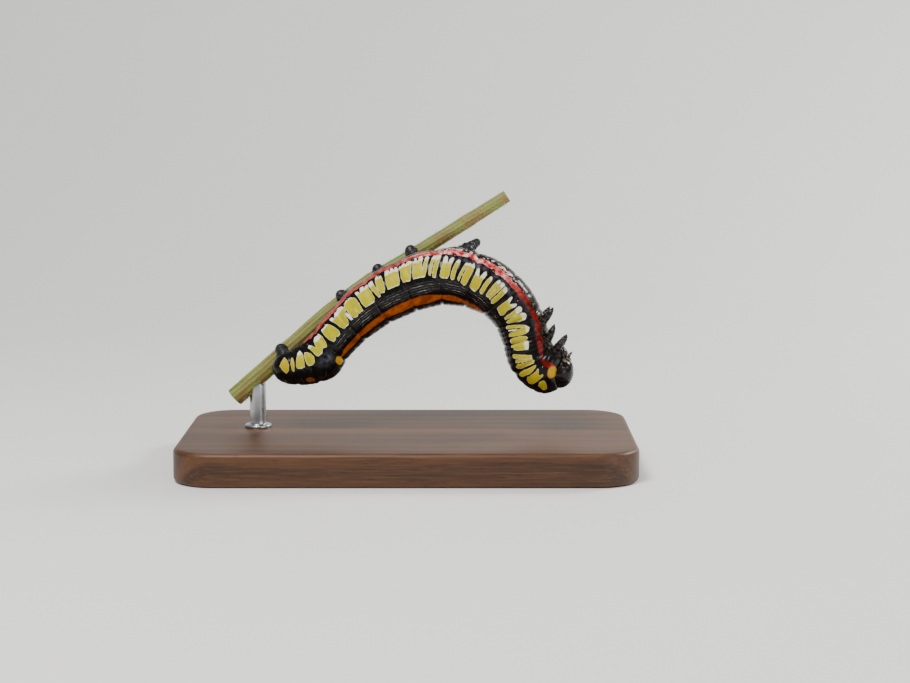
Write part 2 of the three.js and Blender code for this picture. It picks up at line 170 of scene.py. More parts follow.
def bump(x, width):
    """1 at zero, falling smoothly to nothing over about twice the width."""
    return np.exp(-((x / width) ** 2))


# Abdomen segments with prolegs, by their number.
PROLEG_SEGMENTS = (3, 4, 5, 6)
# Places in the list of segments: those with legs, and those with spiracles.
THORAX = (10, 11, 12)
SPIRACLE_SEGMENTS = (2, 3, 4, 5, 6, 7, 8, 9, 12)
# A spiracle's degrees down from the middle of the back, and half its width and height.
SPIRACLE_DOWN = 95
SPIRACLE_HALF_WIDTH = 0.17
SPIRACLE_HALF_HEIGHT = 0.3
# Millimetres round the skin for one degree.
DEGREE = 0.055
# Creases across a segment: the place in it from 0 to 1, and the depth as a share of the radius.
CREASES = ((0.27, 0.011), (0.52, 0.014), (0.76, 0.011))
CLOSE_CREASES_FROM = 31.5
FULL_BACK_AT = 40.2


def relief(s, angle):
    """What the living skin adds to the plain section: folds, creases, swellings. Millimetres."""
    i, u = segment_at(s)
    down = np.degrees(np.abs(angle))
    size = along(RADIUS, s)
    edge = np.minimum(u, 1 - u) * LENGTHS[i]
    inner = np.where((s < 0.5) | (s > BODY_LENGTH - 0.6), 0, 1)
    total = (-0.022 * bump(edge, 0.16) + 0.03 * bump(edge, 0.5)) * size * inner
    # Shallow creases cross each segment, deeper on the back where the arch presses the skin.
    front = np.clip((s - CLOSE_CREASES_FROM) / 3, 0, 1) * np.clip(1.8 - down / 50, 0, 1)
    for place, depth in CREASES:
        wander = 0.05 * np.sin(angle * 3 + i * 1.7)
        crease = bump((u - place + wander) * LENGTHS[i], 0.11)
        total = total - size * crease * (depth + 0.012 * front) * inner
    # A soft ridge runs under the spiracles.
    total = total + 0.07 * bump(down - 116, 16) * np.sin(np.pi * u) * inner
    # Swellings carry the prolegs and the legs.
    for number in PROLEG_SEGMENTS:
        middle = MIDDLES[10 - number]
        total = total + 0.3 * bump(s - middle, 1.0) * bump(down - 148, 20)
    for k in THORAX:
        total = total + 0.2 * bump(s - MIDDLES[k], 0.6) * bump(down - 142, 16)
    # The back is full over the two front segments.
    total = total + 0.17 * bump(s - FULL_BACK_AT, 1.6) * np.clip(np.cos(angle), 0, 1)
    # Spiracles are small raised ovals.
    total = total + 0.05 * bump(spiracle_distance(s, down) - 0.8, 0.3)
    # Fine unevenness, the same on every run.
    ripple = np.sin(s * 5.1 + np.sin(angle * 4) * 1.3) * np.sin(angle * 9 + s * 1.3)
    return total + 0.008 * ripple * inner


def spiracle_distance(s, down):
    """Distance from the nearest spiracle's middle, 1 on its rim."""
    best = np.full(np.broadcast(s, down).shape, 9.0)
    for k in SPIRACLE_SEGMENTS:
        middle = MIDDLES[k] - 0.06 * LENGTHS[k]
        across = (s - middle) / SPIRACLE_HALF_WIDTH
        tall = (down - SPIRACLE_DOWN) * DEGREE / SPIRACLE_HALF_HEIGHT
        best = np.minimum(best, np.hypot(across, tall))
    return best


def section_radius(s, angle):
    """The plain section's radius at an angle from the middle of the back, with the hump."""
    c = np.cos(angle)
    tall = np.where(c > 0, 1, BELLY)
    shape = np.abs(np.sin(angle)) ** SECTION_POWER + np.abs(c / tall) ** SECTION_POWER
    reach = np.exp(-(((s - HUMP_AT) / HUMP_LENGTH) ** 2) * 2)
    return body_radius(s) / shape ** (1 / SECTION_POWER) + HUMP_HEIGHT * reach * np.maximum(0, c) ** 2


def skin_point(s, angle, grow=0.0, detail=False):
    """A point on the skin, or off it by grow. detail adds the relief."""
    s = np.asarray(s, float)
    angle = np.asarray(angle, float)
    at, forward, back, left = body_frame(s)
    # The back's end leans forward over the head as a hood.
    hood = np.clip((s - BODY_LENGTH + HOOD_LENGTH) / HOOD_LENGTH, 0, 1) ** 2
    at = at + forward * (HOOD_REACH * hood * np.clip(np.cos(angle) + 0.1, 0, 1))[..., None]
    r = section_radius(s, angle) + grow
    if detail:
        r = np.maximum(0.02, r + relief(s, angle))
    return at + back * (r * np.cos(angle))[..., None] + left * (r * np.sin(angle))[..., None]


# Markings. Places are millimetres along, and degrees down from the middle of the back, the same on
# both sides. Each yellow block has the angle where its white foot begins, then its outline.
BLOCKS = [
    [99, 1.6, 25, 1.9, 40, 1.97, 58, 1.75, 74, 1.35, 92, 0.92, 66, 0.8, 52, 1.17, 36],
    [78, 2.5, 32, 2.67, 50, 2.7, 66, 2.6, 81, 2.35, 77, 2.2, 58, 2.3, 40],
    [80, 3, 43, 3.5, 41, 3.95, 43, 4.15, 60, 4.37, 80, 4.1, 93, 3.6, 89, 3.25, 76, 3, 60, 2.9, 50],
    [76, 4.83, 40, 5.33, 43, 5.7, 54, 5.6, 66, 5.17, 76, 4.75, 80, 4.5, 74, 4.37, 60, 4.33, 48, 4.45,
     42],
    [78, 6.2, 48, 6.8, 47, 7.3, 54, 7.7, 48, 8.05, 58, 8.2, 76, 8.05, 93, 7.35, 93, 7, 86, 6.67, 65,
     6.42, 80, 6.1, 90, 5.75, 85, 5.97, 68, 6, 54],
    [84, 8.75, 43, 9.15, 43, 9.37, 48, 9.6, 43, 9.95, 43, 10.2, 50, 10.1, 66, 9.8, 84, 9.5, 92, 9.1, 89,
     8.65, 92, 8.53, 76, 8.55, 55],
    [80, 10.8, 44, 11.6, 43, 11.9, 52, 11.95, 66, 12.3, 70, 12.4, 80, 12.25, 90, 11.7, 97, 11.1, 93,
     10.85, 84, 10.8, 78, 10.6, 91, 10.2, 92, 10.3, 82, 10.5, 70, 10.6, 55],
    [0, 12.15, 45, 12.4, 44, 12.45, 54, 12.3, 66, 12.1, 66, 12.05, 60],
    [86, 12.6, 44, 13, 41, 13.25, 43, 13.33, 60, 13.4, 43, 14, 42, 14.1, 60, 14.05, 78, 13.7, 88, 13.2,
     93, 12.6, 89, 12.42, 76, 12.5, 56],
    [80, 14.45, 44, 15.6, 43, 15.9, 50, 15.9, 66, 15.8, 80, 15.85, 90, 15.6, 93, 15.4, 84, 15.35, 94,
     15, 95, 14.9, 88, 14.75, 79, 14.6, 90, 14.25, 92, 14.3, 84, 14.4, 72, 14.35, 56],
    [76, 16.35, 46, 16.6, 46, 16.65, 54, 16.55, 68, 16.5, 80, 16.45, 92, 16, 90, 15.95, 80, 16.1, 66,
     16.25, 54],
    [84, 16.75, 52, 17.2, 49, 17.45, 56, 17.55, 70, 17.6, 84, 17.5, 93, 17.25, 97, 16.95, 93, 16.75, 82,
     16.7, 66],
    [82, 17.7, 51, 19.05, 50, 19.3, 58, 19.4, 72, 19.55, 88, 19.45, 96, 19.25, 95, 19.15, 84, 19, 96,
     18.8, 98, 18.65, 84, 18.5, 96, 18.15, 96, 18, 86, 17.85, 70],
    [84, 19.6, 52, 20.4, 50, 20.65, 58, 20.9, 74, 21.2, 90, 21.05, 96, 20.7, 95, 20.55, 90, 20.3, 95,
     20.05, 92, 19.95, 84, 19.85, 93, 19.7, 90, 19.7, 78, 19.55, 62],
    [84, 20.8, 51, 22.1, 50, 22.35, 58, 22.65, 76, 22.95, 92, 22.85, 97, 22.6, 93, 22.35, 80, 22, 63,
     22.1, 78, 22.35, 92, 22.3, 100, 22.05, 99, 21.85, 88, 21.75, 82, 21.7, 99, 21.45, 99, 21.25, 86,
     21.05, 70, 20.85, 58],
    [84, 22.55, 53, 22.75, 50, 22.95, 60, 23.25, 76, 23.6, 90, 23.75, 97, 23.45, 97, 23.15, 86, 22.85,
     70],
    [84, 22.95, 47, 23.25, 45, 23.4, 54, 23.7, 70, 24, 86, 24.1, 96, 23.8, 96, 23.55, 84, 23.2, 66, 23,
     56],
    [74, 23.75, 48, 23.9, 45, 24.6, 44, 24.85, 54, 25, 70, 25.3, 86, 25.2, 90, 24.95, 86, 24.75, 76,
     24.65, 75, 24.7, 90, 24.55, 94, 24.35, 88, 24.15, 72, 23.85, 56],
    [78, 24.95, 46, 25.1, 43, 25.4, 45, 25.5, 58, 25.7, 72, 25.95, 85, 25.75, 88, 25.5, 80, 25.2, 66,
     25, 54],
    [76, 25.75, 47, 25.95, 43, 26.1, 52, 26.4, 68, 26.75, 84, 26.6, 86, 26.35, 78, 26.05, 64, 25.85,
     54],
    [78, 26.2, 43, 26.6, 39, 26.85, 42, 27.1, 56, 27.3, 70, 27.45, 84, 27.3, 90, 27.1, 84, 26.9, 88,
     26.75, 80, 26.5, 66, 26.3, 54],
    [68, 27.35, 43, 27.6, 39, 28.2, 39, 28.5, 50, 28.6, 66, 28.85, 80, 28.7, 86, 28.5, 82, 28.3, 72,
     28.15, 66, 28.05, 74, 27.95, 84, 27.75, 82, 27.65, 70, 27.5, 56],
    [76, 28.75, 46, 28.95, 43, 29.25, 45, 29.35, 60, 29.55, 76, 29.5, 84, 29.3, 83, 29.05, 72, 28.85,
     58],
    [80, 29.7, 50, 29.85, 47, 30.1, 48, 30.25, 60, 30.4, 76, 30.5, 88, 30.25, 90, 30.05, 80, 29.85, 66],
    [80, 30.2, 49, 30.5, 47, 30.65, 58, 30.85, 74, 31.05, 90, 30.9, 92, 30.65, 90, 30.5, 76, 30.35, 62],
    [80, 30.7, 48, 30.95, 44, 31.25, 46, 31.45, 58, 31.55, 72, 31.6, 86, 31.45, 91, 31.2, 90, 31.05, 76,
     30.85, 60],
    [76, 32.1, 48, 33.3, 47, 33.5, 54, 33.3, 66, 33.4, 76, 33.55, 86, 33.4, 90, 33.2, 86, 32.95, 78,
     32.75, 76, 32.6, 84, 32.5, 89, 32.35, 88, 32.3, 76, 32.15, 62],
    [80, 33.95, 53, 34.3, 52, 34.4, 66, 34.45, 80, 34.4, 92, 34.1, 96, 33.75, 92, 33.75, 86, 33.85, 74,
     33.85, 60],
    [86, 34.55, 56, 34.7, 52, 35, 54, 35.2, 66, 35.4, 80, 35.5, 92, 35.2, 99, 34.85, 98, 34.6, 92, 34.5,
     76, 34.55, 64],
    [86, 35.3, 48, 35.5, 45, 35.8, 47, 35.9, 58, 36.15, 72, 36.3, 84, 36.4, 72, 36.4, 56, 36.55, 47,
     36.9, 46, 37.05, 58, 37.15, 74, 37.15, 86, 36.95, 93, 36.6, 96, 36.25, 91, 35.95, 82, 35.6, 66],
    [0, 36, 49, 36.15, 48, 36.32, 62, 36.28, 72, 36.15, 62],
    [84, 37.3, 48, 37.5, 46, 37.9, 47, 38, 56, 37.95, 70, 37.95, 84, 37.75, 88, 37.45, 84, 37.3, 72,
     37.25, 58],
    [76, 38.1, 50, 38.15, 45, 38.35, 45, 38.45, 53, 38.65, 50, 38.85, 60, 39, 72, 39.1, 84, 38.7, 87,
     38.15, 88, 38, 80, 38.1, 64],
    [86, 39.1, 47, 39.2, 43, 39.4, 44, 39.6, 56, 39.9, 70, 40.15, 84, 40, 89, 39.85, 87, 39.6, 76,
     39.35, 62, 39.15, 52],
    [84, 39.65, 50, 39.85, 46, 39.95, 54, 40.1, 66, 40.25, 78, 40.3, 86, 40.2, 88, 40.1, 80, 39.9, 68,
     39.7, 58],
    [86, 40.05, 50, 40.2, 42, 40.4, 46, 40.5, 60, 40.6, 72, 40.8, 85, 40.6, 89, 40.35, 86, 40.3, 72,
     40.15, 60],
    [84, 40.65, 44, 40.75, 36, 40.95, 42, 41.1, 56, 41.25, 68, 41.25, 82, 41.1, 88, 40.95, 80, 40.8, 66,
     40.68, 56],
    [82, 41.25, 54, 41.35, 45, 41.5, 42, 41.8, 47, 41.95, 56, 42.15, 67, 42.4, 79, 42.25, 82, 42.05, 76,
     41.86, 77, 41.7, 84, 41.5, 86, 41.5, 76, 41.4, 66],
    [99, 42.3, 52, 42.6, 49, 42.95, 41, 43.05, 48, 43.02, 56, 42.9, 64, 42.7, 71, 42.5, 68, 42.3, 62],
]
# Half the width in degrees of the orange stripe on the back, by millimetres along.
STRIPE = [(7.9, 0), (8.2, 7), (9.5, 9), (11.4, 7.5), (13.5, 10), (15.6, 8.5), (17.6, 13), (19.6, 11),
          (21.5, 14), (23.5, 6), (25.3, 10), (27.4, 5.5), (29.5, 11), (30.6, 13), (31.2, 5), (31.7, -3)]
# The red stripe under the blocks: millimetres along, its middle and half its width in degrees.
RED = [(4.8, 111, -3), (5.6, 110, 3), (7, 108, 6), (10, 106, 7), (13, 105, 8), (17, 105, 8),
       (19.6, 104, 6.5), (21.5, 104, 8), (23.6, 104, 6.5), (25.5, 105, 8), (27.6, 103, 6.5),
       (29.5, 103, 8), (31.5, 106, 6.5), (33, 109, 8), (34.5, 114, 6.5), (36.7, 116, 7),
       (38.2, 114, 9), (39.5, 112, 6.5), (40.6, 111, 4), (41.3, 105, 5), (42.5, 104, 7), (43.6, 100, 7)]
# Thin grey lines on the back: degrees down, half the width, strength.
BACK_LINES = [(18, 0.3, 0.55), (23, 0.55, 1), (28.5, 0.3, 0.5), (33.5, 0.55, 1), (39, 0.2, 0.5)]
# Oval spots: millimetres along, degrees down, half the length, half the width in degrees.
SPOTS = {
    "hump_spot": (7.45, 0, 0.42, 13),
    "tail_spot": (3.95, 0, 0.38, 11),
    "collar_spot": (43.14, 94, 0.52, 16),
}


def inside_distance(corners, s, down):
    """Millimetres inside an outline, negative outside it."""
    x, y = s, down * DEGREE
    shape = corners * (1, DEGREE)
    nearest = np.full(s.shape, 9.0)
    inside = np.zeros(s.shape, bool)
    for (ax, ay), (bx, by) in zip(shape, np.roll(shape, -1, 0)):
        ex, ey = bx - ax, by - ay
        t = np.clip(((x - ax) * ex + (y - ay) * ey) / (ex * ex + ey * ey), 0, 1)
        nearest = np.minimum(nearest, np.hypot(x - ax - ex * t, y - ay - ey * t))
        crosses = (ay > y) != (by > y)
        rise = ey if ey else 1.0
        inside ^= crosses & (x < ax + (y - ay) * ex / rise)
    return np.where(inside, nearest, -nearest)


def block_marks(s, down):
    """Millimetres inside the nearest yellow block, and how white it is there."""
    best = np.full(s.shape, -0.5)
    pale = np.zeros(s.shape)
    for foot, *places in BLOCKS:
        corners = np.reshape(places, (-1, 2))
        low, high = np.min(corners, 0), np.max(corners, 0)
        close = (s > low[0] - 0.4) & (s < high[0] + 0.4) & (down > low[1] - 7) & (down < high[1] + 7)
        found = inside_distance(corners, s[close], down[close])
        nearer = found > best[close]
        white = np.maximum((down[close] - foot) / 7 + 0.4, (low[1] + 3.5 - down[close]) / 3)
        best[close] = np.where(nearer, found, best[close])
        pale[close] = np.where(nearer, np.clip(white, 0, 1), pale[close])
    return best, pale


# Pieces and materials.
def linked(name, data):
    """A new object in the scene."""
    thing = bpy.data.objects.new(name, data)
    bpy.context.scene.collection.objects.link(thing)
    return thing


def piece(name, points, faces, material, slot, nodes=(), values=None, uv=()):
    """A mesh object from millimetre points. With a slot, it rides on the one body."""
    mesh = bpy.data.meshes.new(name)
    points = np.asarray(points, float).reshape(-1, 3) * MM
    mesh.from_pydata(points.tolist(), [], [list(f) for f in faces])
    mesh.update()
    for key, data in (values or {}).items():
        layer = mesh.attributes.new(key, "FLOAT", "POINT")
        layer.data.foreach_set("value", np.asarray(data, np.float32).ravel())
    if uv:
        layer = mesh.uv_layers.new(name="OFBake")
        corners = np.empty(len(mesh.loops), np.int32)
        mesh.loops.foreach_get("vertex_index", corners)
        layer.data.foreach_set("uv", np.asarray(uv, np.float32)[corners].ravel())
    mesh.polygons.foreach_set("use_smooth", [True] * len(mesh.polygons))
    thing = linked(name, mesh)
    mesh.materials.append(material)
    if slot:
        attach(thing, "root")
    if nodes:
        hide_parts(*nodes)
    return thing


class Batch:
    """Points, faces and point values of several lofts, joined into one mesh."""

    def __init__(self):
        self.points = []
        self.faces = []
        self.values = {}
        self.uv = []

    def add(self, points, faces, uv=(), **values):
        first = len(self.points)
        self.points.extend(np.asarray(points, float).reshape(-1, 3).tolist())
        self.faces.extend([tuple(i + first for i in f) for f in faces])
        self.uv.extend(uv)
        count = len(self.points) - first
        for key, data in values.items():
            column = self.values.setdefault(key, [0.0] * first)
            column.extend(np.broadcast_to(data, (count,)).tolist())
        for column in self.values.values():
            column.extend([0.0] * (len(self.points) - len(column)))

    def make(self, name, material, slot, nodes=()):
        piece(name, self.points, self.faces, material, slot, nodes, self.values, self.uv)


def grid_faces(rings, sides, closed=True):
    """Quads of a grid whose rows are rings of points."""
    faces = []
    for i in range(rings - 1):
        for k in range(sides if closed else sides - 1):
            a = i * sides + k
            b = i * sides + (k + 1) % sides
            faces.append((a, b, b + sides, a + sides))
    return faces


def closed_faces(rings, sides):
    """The faces of a tube of rings, with a flat cap at each end."""
    first = tuple(range(sides))
    last = tuple(k + (rings - 1) * sides for k in first)
    return grid_faces(rings, sides) + [first[::-1], last]


def turns(count):
    """Angles of places evenly round a circle."""
    return np.linspace(0, 2 * math.pi, count, endpoint=False)


def rings_round(centres, sides, up=(0.0, -1.0, 0.0)):
    """The directions along a line of points, and those out of each point all round the line."""
    ways = unit(np.gradient(centres, axis=0))
    side = unit(np.cross(ways, np.array(up, float)))
    over = np.cross(side, ways)
    turn = turns(sides)[None, :, None]
    return ways, np.cos(turn) * side[:, None] + np.sin(turn) * over[:, None]


def tube(stations, sides, up=(0.0, -1.0, 0.0), cap=True):
    """Points, faces and the place along of a round loft through [point, radius] pairs."""
    centres = np.array([c for c, _ in stations], float)
    radii = np.array([r for _, r in stations], float)
    ring = rings_round(centres, sides, up)[1]
    points = (centres[:, None] + ring * radii[:, None, None]).reshape(-1, 3)
    faces = (closed_faces if cap else grid_faces)(len(stations), sides)
    return points, faces, np.repeat(np.linspace(0, 1, len(stations)), sides)


def taper(root, way, steps, sides):
    """A straight tube from root along way, through [distance, radius] steps."""
    return tube([(root + way * t, r) for t, r in steps], sides)


def smooth_stations(stations, count):
    """The same stations, resampled with a smooth curve through them."""
    table = np.array([list(c) + [r] for c, r in stations], float)
    x = np.linspace(0, len(stations) - 1, count)
    i = np.clip(np.floor(x).astype(int), 0, len(stations) - 2)
    t = (x - i)[:, None]
    before = table[np.maximum(i - 1, 0)]
    after = table[np.minimum(i + 2, len(stations) - 1)]
    p, q = table[i], table[i + 1]
    curve = 0.5 * (
        2 * p
        + (q - before) * t
        + (2 * before - 5 * p + 4 * q - after) * t**2
        + (3 * p - before - 3 * q + after) * t**3
    )
    return [(row[:3], max(row[3], 0.004)) for row in curve]


def srgb(red, green, blue):
    """A linear colour from 0-255 display values."""
    def one(v):
        v /= 255
        return v / 12.92 if v <= 0.04045 else ((v + 0.055) / 1.055) ** 2.4
    return (one(red), one(green), one(blue), 1.0)


class Value:
    """A node's output in a material, with arithmetic that adds more nodes. | takes the larger."""

    def __init__(self, surface, socket):
        self.surface = surface
        self.socket = socket

    def __add__(self, other):
        return self.surface.math("ADD", self, other)

    def __sub__(self, other):
        return self.surface.math("SUBTRACT", self, other)

    def __mul__(self, other):
        return self.surface.math("MULTIPLY", self, other)

    def __or__(self, other):
        return self.surface.math("MAXIMUM", self, other)

    def step(self, low, high):
        """0 below low and 1 above high, smoothly. low may be the larger."""
        ends = (1, 0) if low > high else (0, 1)
        span = (min(low, high), max(low, high))
        smooth = "SMOOTHSTEP"
        return self.surface.node("MapRange", "Result", self, *span, *ends, interpolation_type=smooth)

    def near(self, middle, half, soft):
        """1 near the middle and 0 away from it, changing from half - soft to half + soft."""
        return self.surface.math("ABSOLUTE", self - middle).step(half + soft, half - soft)


class Surface:
    """A material built from nodes. Its colours are 0-255 display values."""

    def __init__(self, name, roughness=0.5, **sockets):
        self.material = bpy.data.materials.new(name)
        self.material.use_nodes = True
        self.tree = self.material.node_tree
        self.shader = self.tree.nodes["Principled BSDF"]
        self.shader.inputs["Roughness"].default_value = roughness
        for key, value in sockets.items():
            self.shader.inputs[key.replace("_", " ")].default_value = value
        place = self.node("TexCoord", "Object")
        self.place = self.node("Mapping", "Vector", place, Scale=(1 / MM,) * 3)

    def put(self, socket, value):
        if isinstance(value, Value):
            self.tree.links.new(value.socket, socket)
        else:
            socket.default_value = value

    def node(self, kind, output, *values, **named):
        """One output of a new node. Settings and sockets go by name, or sockets in their order."""
        node = self.tree.nodes.new("ShaderNode" + kind)
        for key, value in named.items():
            if key in node.inputs:
                self.put(node.inputs[key], value)
            else:
                setattr(node, key, value)
        for socket, value in zip(node.inputs, values):
            self.put(socket, value)
        return Value(self, node.outputs[output])

    def value(self, name):
        return self.node("Attribute", "Fac", attribute_name=name)

    def math(self, kind, *values):
        return self.node("Math", 0, *values, operation=kind)

    def noise(self, scale, detail=2, vector=None):
        return self.node("TexNoise", "Fac", vector or self.place, Scale=scale, Detail=detail)

    def wobble(self, scale, amount, detail=2):
        """Noise round zero, amount high."""
        return (self.noise(scale, detail) - 0.5) * (2 * amount)

    def cells(self, scale):
        return self.node("TexVoronoi", "Distance", self.place, Scale=scale)

    def mix(self, factor, first, second):
        mixed = self.node("Mix", 2, factor, data_type="RGBA")
        sockets = [x for x in mixed.socket.node.inputs if x.type == "RGBA"]
        for socket, colour in zip(sockets, (first, second)):
            self.put(socket, srgb(*colour) if isinstance(colour, tuple) else colour)
        return mixed

    def together(self, x, y, z=0):
        return self.node("CombineXYZ", "Vector", x, y, z)

    def apart(self):
        """The place's x, y and z."""
        split = self.node("SeparateXYZ", 0, self.place).socket.node
        return [Value(self, socket) for socket in split.outputs]

    def colour(self, value):
        self.put(self.shader.inputs["Base Color"], value)

    def rough(self, pattern, spread, low):
        """Roughness from low, and spread more where the pattern is 1."""
        self.put(self.shader.inputs["Roughness"], pattern * spread + low)

    def bump(self, height, strength, distance):
        raised = self.node("Bump", "Normal", Strength=strength, Distance=distance * MM, Height=height)
        self.put(self.shader.inputs["Normal"], raised)


BLACK = (20, 17, 17)
DEEP = (9, 8, 8)


def skin_material():
    m = Surface("larva_skin", 0.24, Specular_IOR_Level=0.15)
    s = m.value("along")
    down = m.value("down")
    field = m.value("block")
    pale = m.value("pale")

    def stretched(scale, detail, by_s, by_down):
        """Noise with its own grain along and round the body."""
        return m.noise(scale, detail, m.together(s * by_s, down * by_down))

    # The ground: black, with a painted cool grey sheen above the red stripe and on the hump, standing for
    # the sky's reflection on the glossy skin, and a belly mottled with pale flecks, partly painted glints.
    ground = m.mix(m.noise(1.2, 3), DEEP, BLACK)
    flank = down.near(90, 4, 6) * s.near(28.5, 4.5, 3.5)
    hump = down.near(32, 8, 12) * s.near(6.7, 0.7, 0.9)
    # Painted reflection: the cool grey sheen on the flank and the hump.
    painted_sheen = (flank | hump) * m.noise(1.8, 3).step(0.34, 0.66)
    ground = m.mix(painted_sheen * 0.6, ground, (92, 90, 106))
    # Pale flecks on the belly: real mottling, and partly painted glints.
    veins = stretched(1.5, 3, 1.6, 0.09).near(0.5, 0.008, 0.018)
    flecks_and_glints = m.cells(5).step(0.3, 0.16) | veins * 0.5
    flecks_and_glints = flecks_and_glints * (down.step(118, 126) * s.near(24, 16, 4))
    ground = m.mix(flecks_and_glints * 0.6, ground, (150, 138, 110))
    # Painted glints: whitish patches right below the red stripe on the middle segments.
    painted_glints = down.near(116, 5, 4) * s.near(28, 4.5, 2.5)
    painted_glints = painted_glints * m.noise(2.4, 3).step(0.5, 0.58)
    ground = m.mix(painted_glints * 0.85, ground, (214, 206, 196))
    # Thin broken grey lines between the back stripe and the blocks, rippling over the creases.
    ripple = m.math("SINE", m.value("segment_place") * 25.1) * 0.55
    lane = down + ripple + m.wobble(0.75, 2.3, 3)
    lines = 0
    for angle, half, strength in BACK_LINES:
        lines = lane.near(angle, half, 0.75) * strength | lines
    broken = stretched(1.5, 3, 0.9, 0.5).step(0.4, 0.62)
    lines = lines * broken * s.near(24.5, 16, 2.2)
    # They fade where two segments meet.
    inner = m.value("segment_place").near(0.5, 0.27, 0.16)
    lines = lines * (inner * 0.85 + 0.15)
    ground = m.mix(lines * 0.9, ground, (172, 167, 160))
    # The burnt-orange stripe on the back.
    stripe = (m.value("stripe") + m.wobble(1.9, 1.7, 3)).step(-0.7, 0.9)
    orange = m.mix(m.noise(1, 4).step(0.35, 0.68), (126, 50, 1), (172, 80, 2))
    rim = m.value("stripe").step(2.6, 0.4)
    orange = m.mix(rim * 0.55, orange, (100, 34, 4))
    ground = m.mix(stripe, ground, orange)
    # Spots on the back: yellow on the hump's front, brown on segment 9.
    hump_spot = (m.value("hump_spot") + m.wobble(2.2, 0.2)).step(1.1, 0.9)
    ground = m.mix(hump_spot, ground, (190, 136, 2))
    tail_spot = (m.value("tail_spot") + m.wobble(2.2, 0.3)).step(1.15, 0.75)
    ground = m.mix(tail_spot, ground, (134, 72, 10))
    # The red stripe below the spiracles, blotched with pink painted highlight and whitish painted glints
    # where it is broadest.
    red = (m.value("red") + m.wobble(1.6, 6.5, 3)).step(-0.6, 1.2)
    patches = m.noise(1.5, 3)
    broad = s.near(26.5, 4.5, 3)
    warm = m.mix(broad, (144, 34, 30), (172, 34, 28))
    # Painted highlight: pink where the stripe faces the light.
    red_with_painted_highlight = m.mix(broad, (178, 72, 68), (216, 112, 108))
    red_with_painted_highlight = m.mix(patches.step(0.36, 0.54), warm, red_with_painted_highlight)
    # Painted glints: whitish patches on the pink.
    red_with_painted_highlight = m.mix(patches.step(0.55, 0.64) * broad, red_with_painted_highlight, (232, 190, 182))
    blood = m.mix(patches.step(0.35, 0.7), (72, 8, 5), (128, 18, 10))
    pores = m.cells(1.7).step(0.2, 0.1) * 0.8
    stripe_colour_and_highlight = m.mix(pores, m.mix(s.step(31, 34), red_with_painted_highlight, blood), (60, 10, 8))
    ground = m.mix(red, ground, stripe_colour_and_highlight)
    collar = (m.value("collar_spot") + m.wobble(2, 0.16)).step(1.08, 0.86)
    amber = m.mix(m.value("collar_spot").step(0.6, 1), (196, 164, 4), (196, 92, 10))
    ground = m.mix(collar, ground, amber)
    # The yellow blocks with white ends and edges, more ochre at the two ends of the body.
    mask = (field + m.wobble(3.2, 0.045)).step(-0.045, 0.02)
    ends = s.step(3.6, 1.6) | s.step(36.5, 42)
    ends = ends | s.step(22.5, 28) * 0.4
    yellow = m.mix(m.noise(1.1).step(0.3, 0.7), (170, 161, 0), (184, 176, 1))
    yellow = m.mix(ends * 0.8, yellow, (176, 150, 0))
    edge = field.step(0.085, 0) * 0.4
    # White streaks run up into the yellow.
    streaks = stretched(1.6, 2, 2.6, 0.035)
    white = pale + (streaks - 0.5) * 1.5
    white = (white + m.wobble(1.8, 0.2)).step(0.3, 0.9) | edge
    white = white * (ends * -0.5 + 1)
    paint = m.mix(white, yellow, (232, 229, 208))
    base = m.mix(mask, ground, paint)
    # Spiracles: a pale slit in a black rim.
    hole = m.value("spiracle")
    base = m.mix(hole.step(1.15, 0.95), base, (14, 12, 12))
    base = m.mix(hole.step(0.5, 0.3), base, (120, 112, 100))
    m.colour(base)
    m.rough(m.noise(2.2), 0.14, mask * 0.2 + 0.14)
    creases = stretched(3, 4, 0.8, 0.045)
    height = creases * 0.6 + m.noise(7, 3) * 0.4
    m.bump(height + mask * 0.12, 0.13, 0.04)
    return m.material


def hard_material(name, colour, second, roughness=0.2):
    """Smooth hard cuticle with a faint mottling."""
    m = Surface(name, roughness, Specular_IOR_Level=0.45)
    m.colour(m.mix(m.noise(2.6, 4).step(0.42, 0.72), colour, second))
    m.rough(m.noise(3), 0.14, roughness - 0.05)
    m.bump(m.noise(9, 3) + m.cells(5) * 0.4, 0.16, 0.03)
    return m.material


def head_material():
    """Black head: mottled lobes, seams a little paler, jaws' hinge and lip brown."""
    m = Surface("head_capsule", 0.16, Specular_IOR_Level=0.24)
    base = m.mix(m.noise(2.2, 4).step(0.45, 0.75), (14, 12, 12), (34, 26, 24))
    base = m.mix(m.value("seam"), base, (64, 46, 38))
    base = m.mix(m.value("lip"), base, (96, 62, 40))
    base = m.mix(m.value("membrane"), base, (196, 178, 150))
    m.colour(base)
    m.rough(m.noise(3), 0.1, 0.12)
    m.bump(m.noise(7, 3) + m.cells(3.5) * 0.5, 0.1, 0.02)
    return m.material


def limb_material(name, joint_colour):
    """Black jointed limb with paler skin at the joints, from the point value 'joint'."""
    m = Surface(name, 0.24, Specular_IOR_Level=0.28)
    base = m.mix(m.noise(3, 3).step(0.4, 0.7), (11, 9, 9), (26, 21, 20))
    m.colour(m.mix(m.value("joint") * 0.8, base, joint_colour))
    m.rough(m.noise(4), 0.14, 0.16)
    m.bump(m.noise(6), 0.08, 0.02)
    return m.material


def proleg_material():
    """Fleshy black proleg, wrinkled, with a paler sole."""
    m = Surface("proleg_skin", 0.38, Specular_IOR_Level=0.35)
    ground = m.mix(m.noise(1.6, 3), DEEP, (30, 26, 27))
    cool = m.noise(2.2).step(0.5, 0.8)
    ground = m.mix(cool * 0.35, ground, (92, 88, 98))
    m.colour(m.mix(m.value("joint"), ground, (120, 104, 86)))
    m.rough(m.noise(3), 0.2, 0.28)
    m.bump(m.noise(6, 4) + m.cells(4.5) * 0.6, 0.4, 0.05)
    return m.material


def hair_material(name, colour, tip):
    """A hair's colour at its root, changing to another at its tip."""
    m = Surface(name, 0.35)
    m.colour(m.mix(m.value("place"), colour, tip))
    return m.material


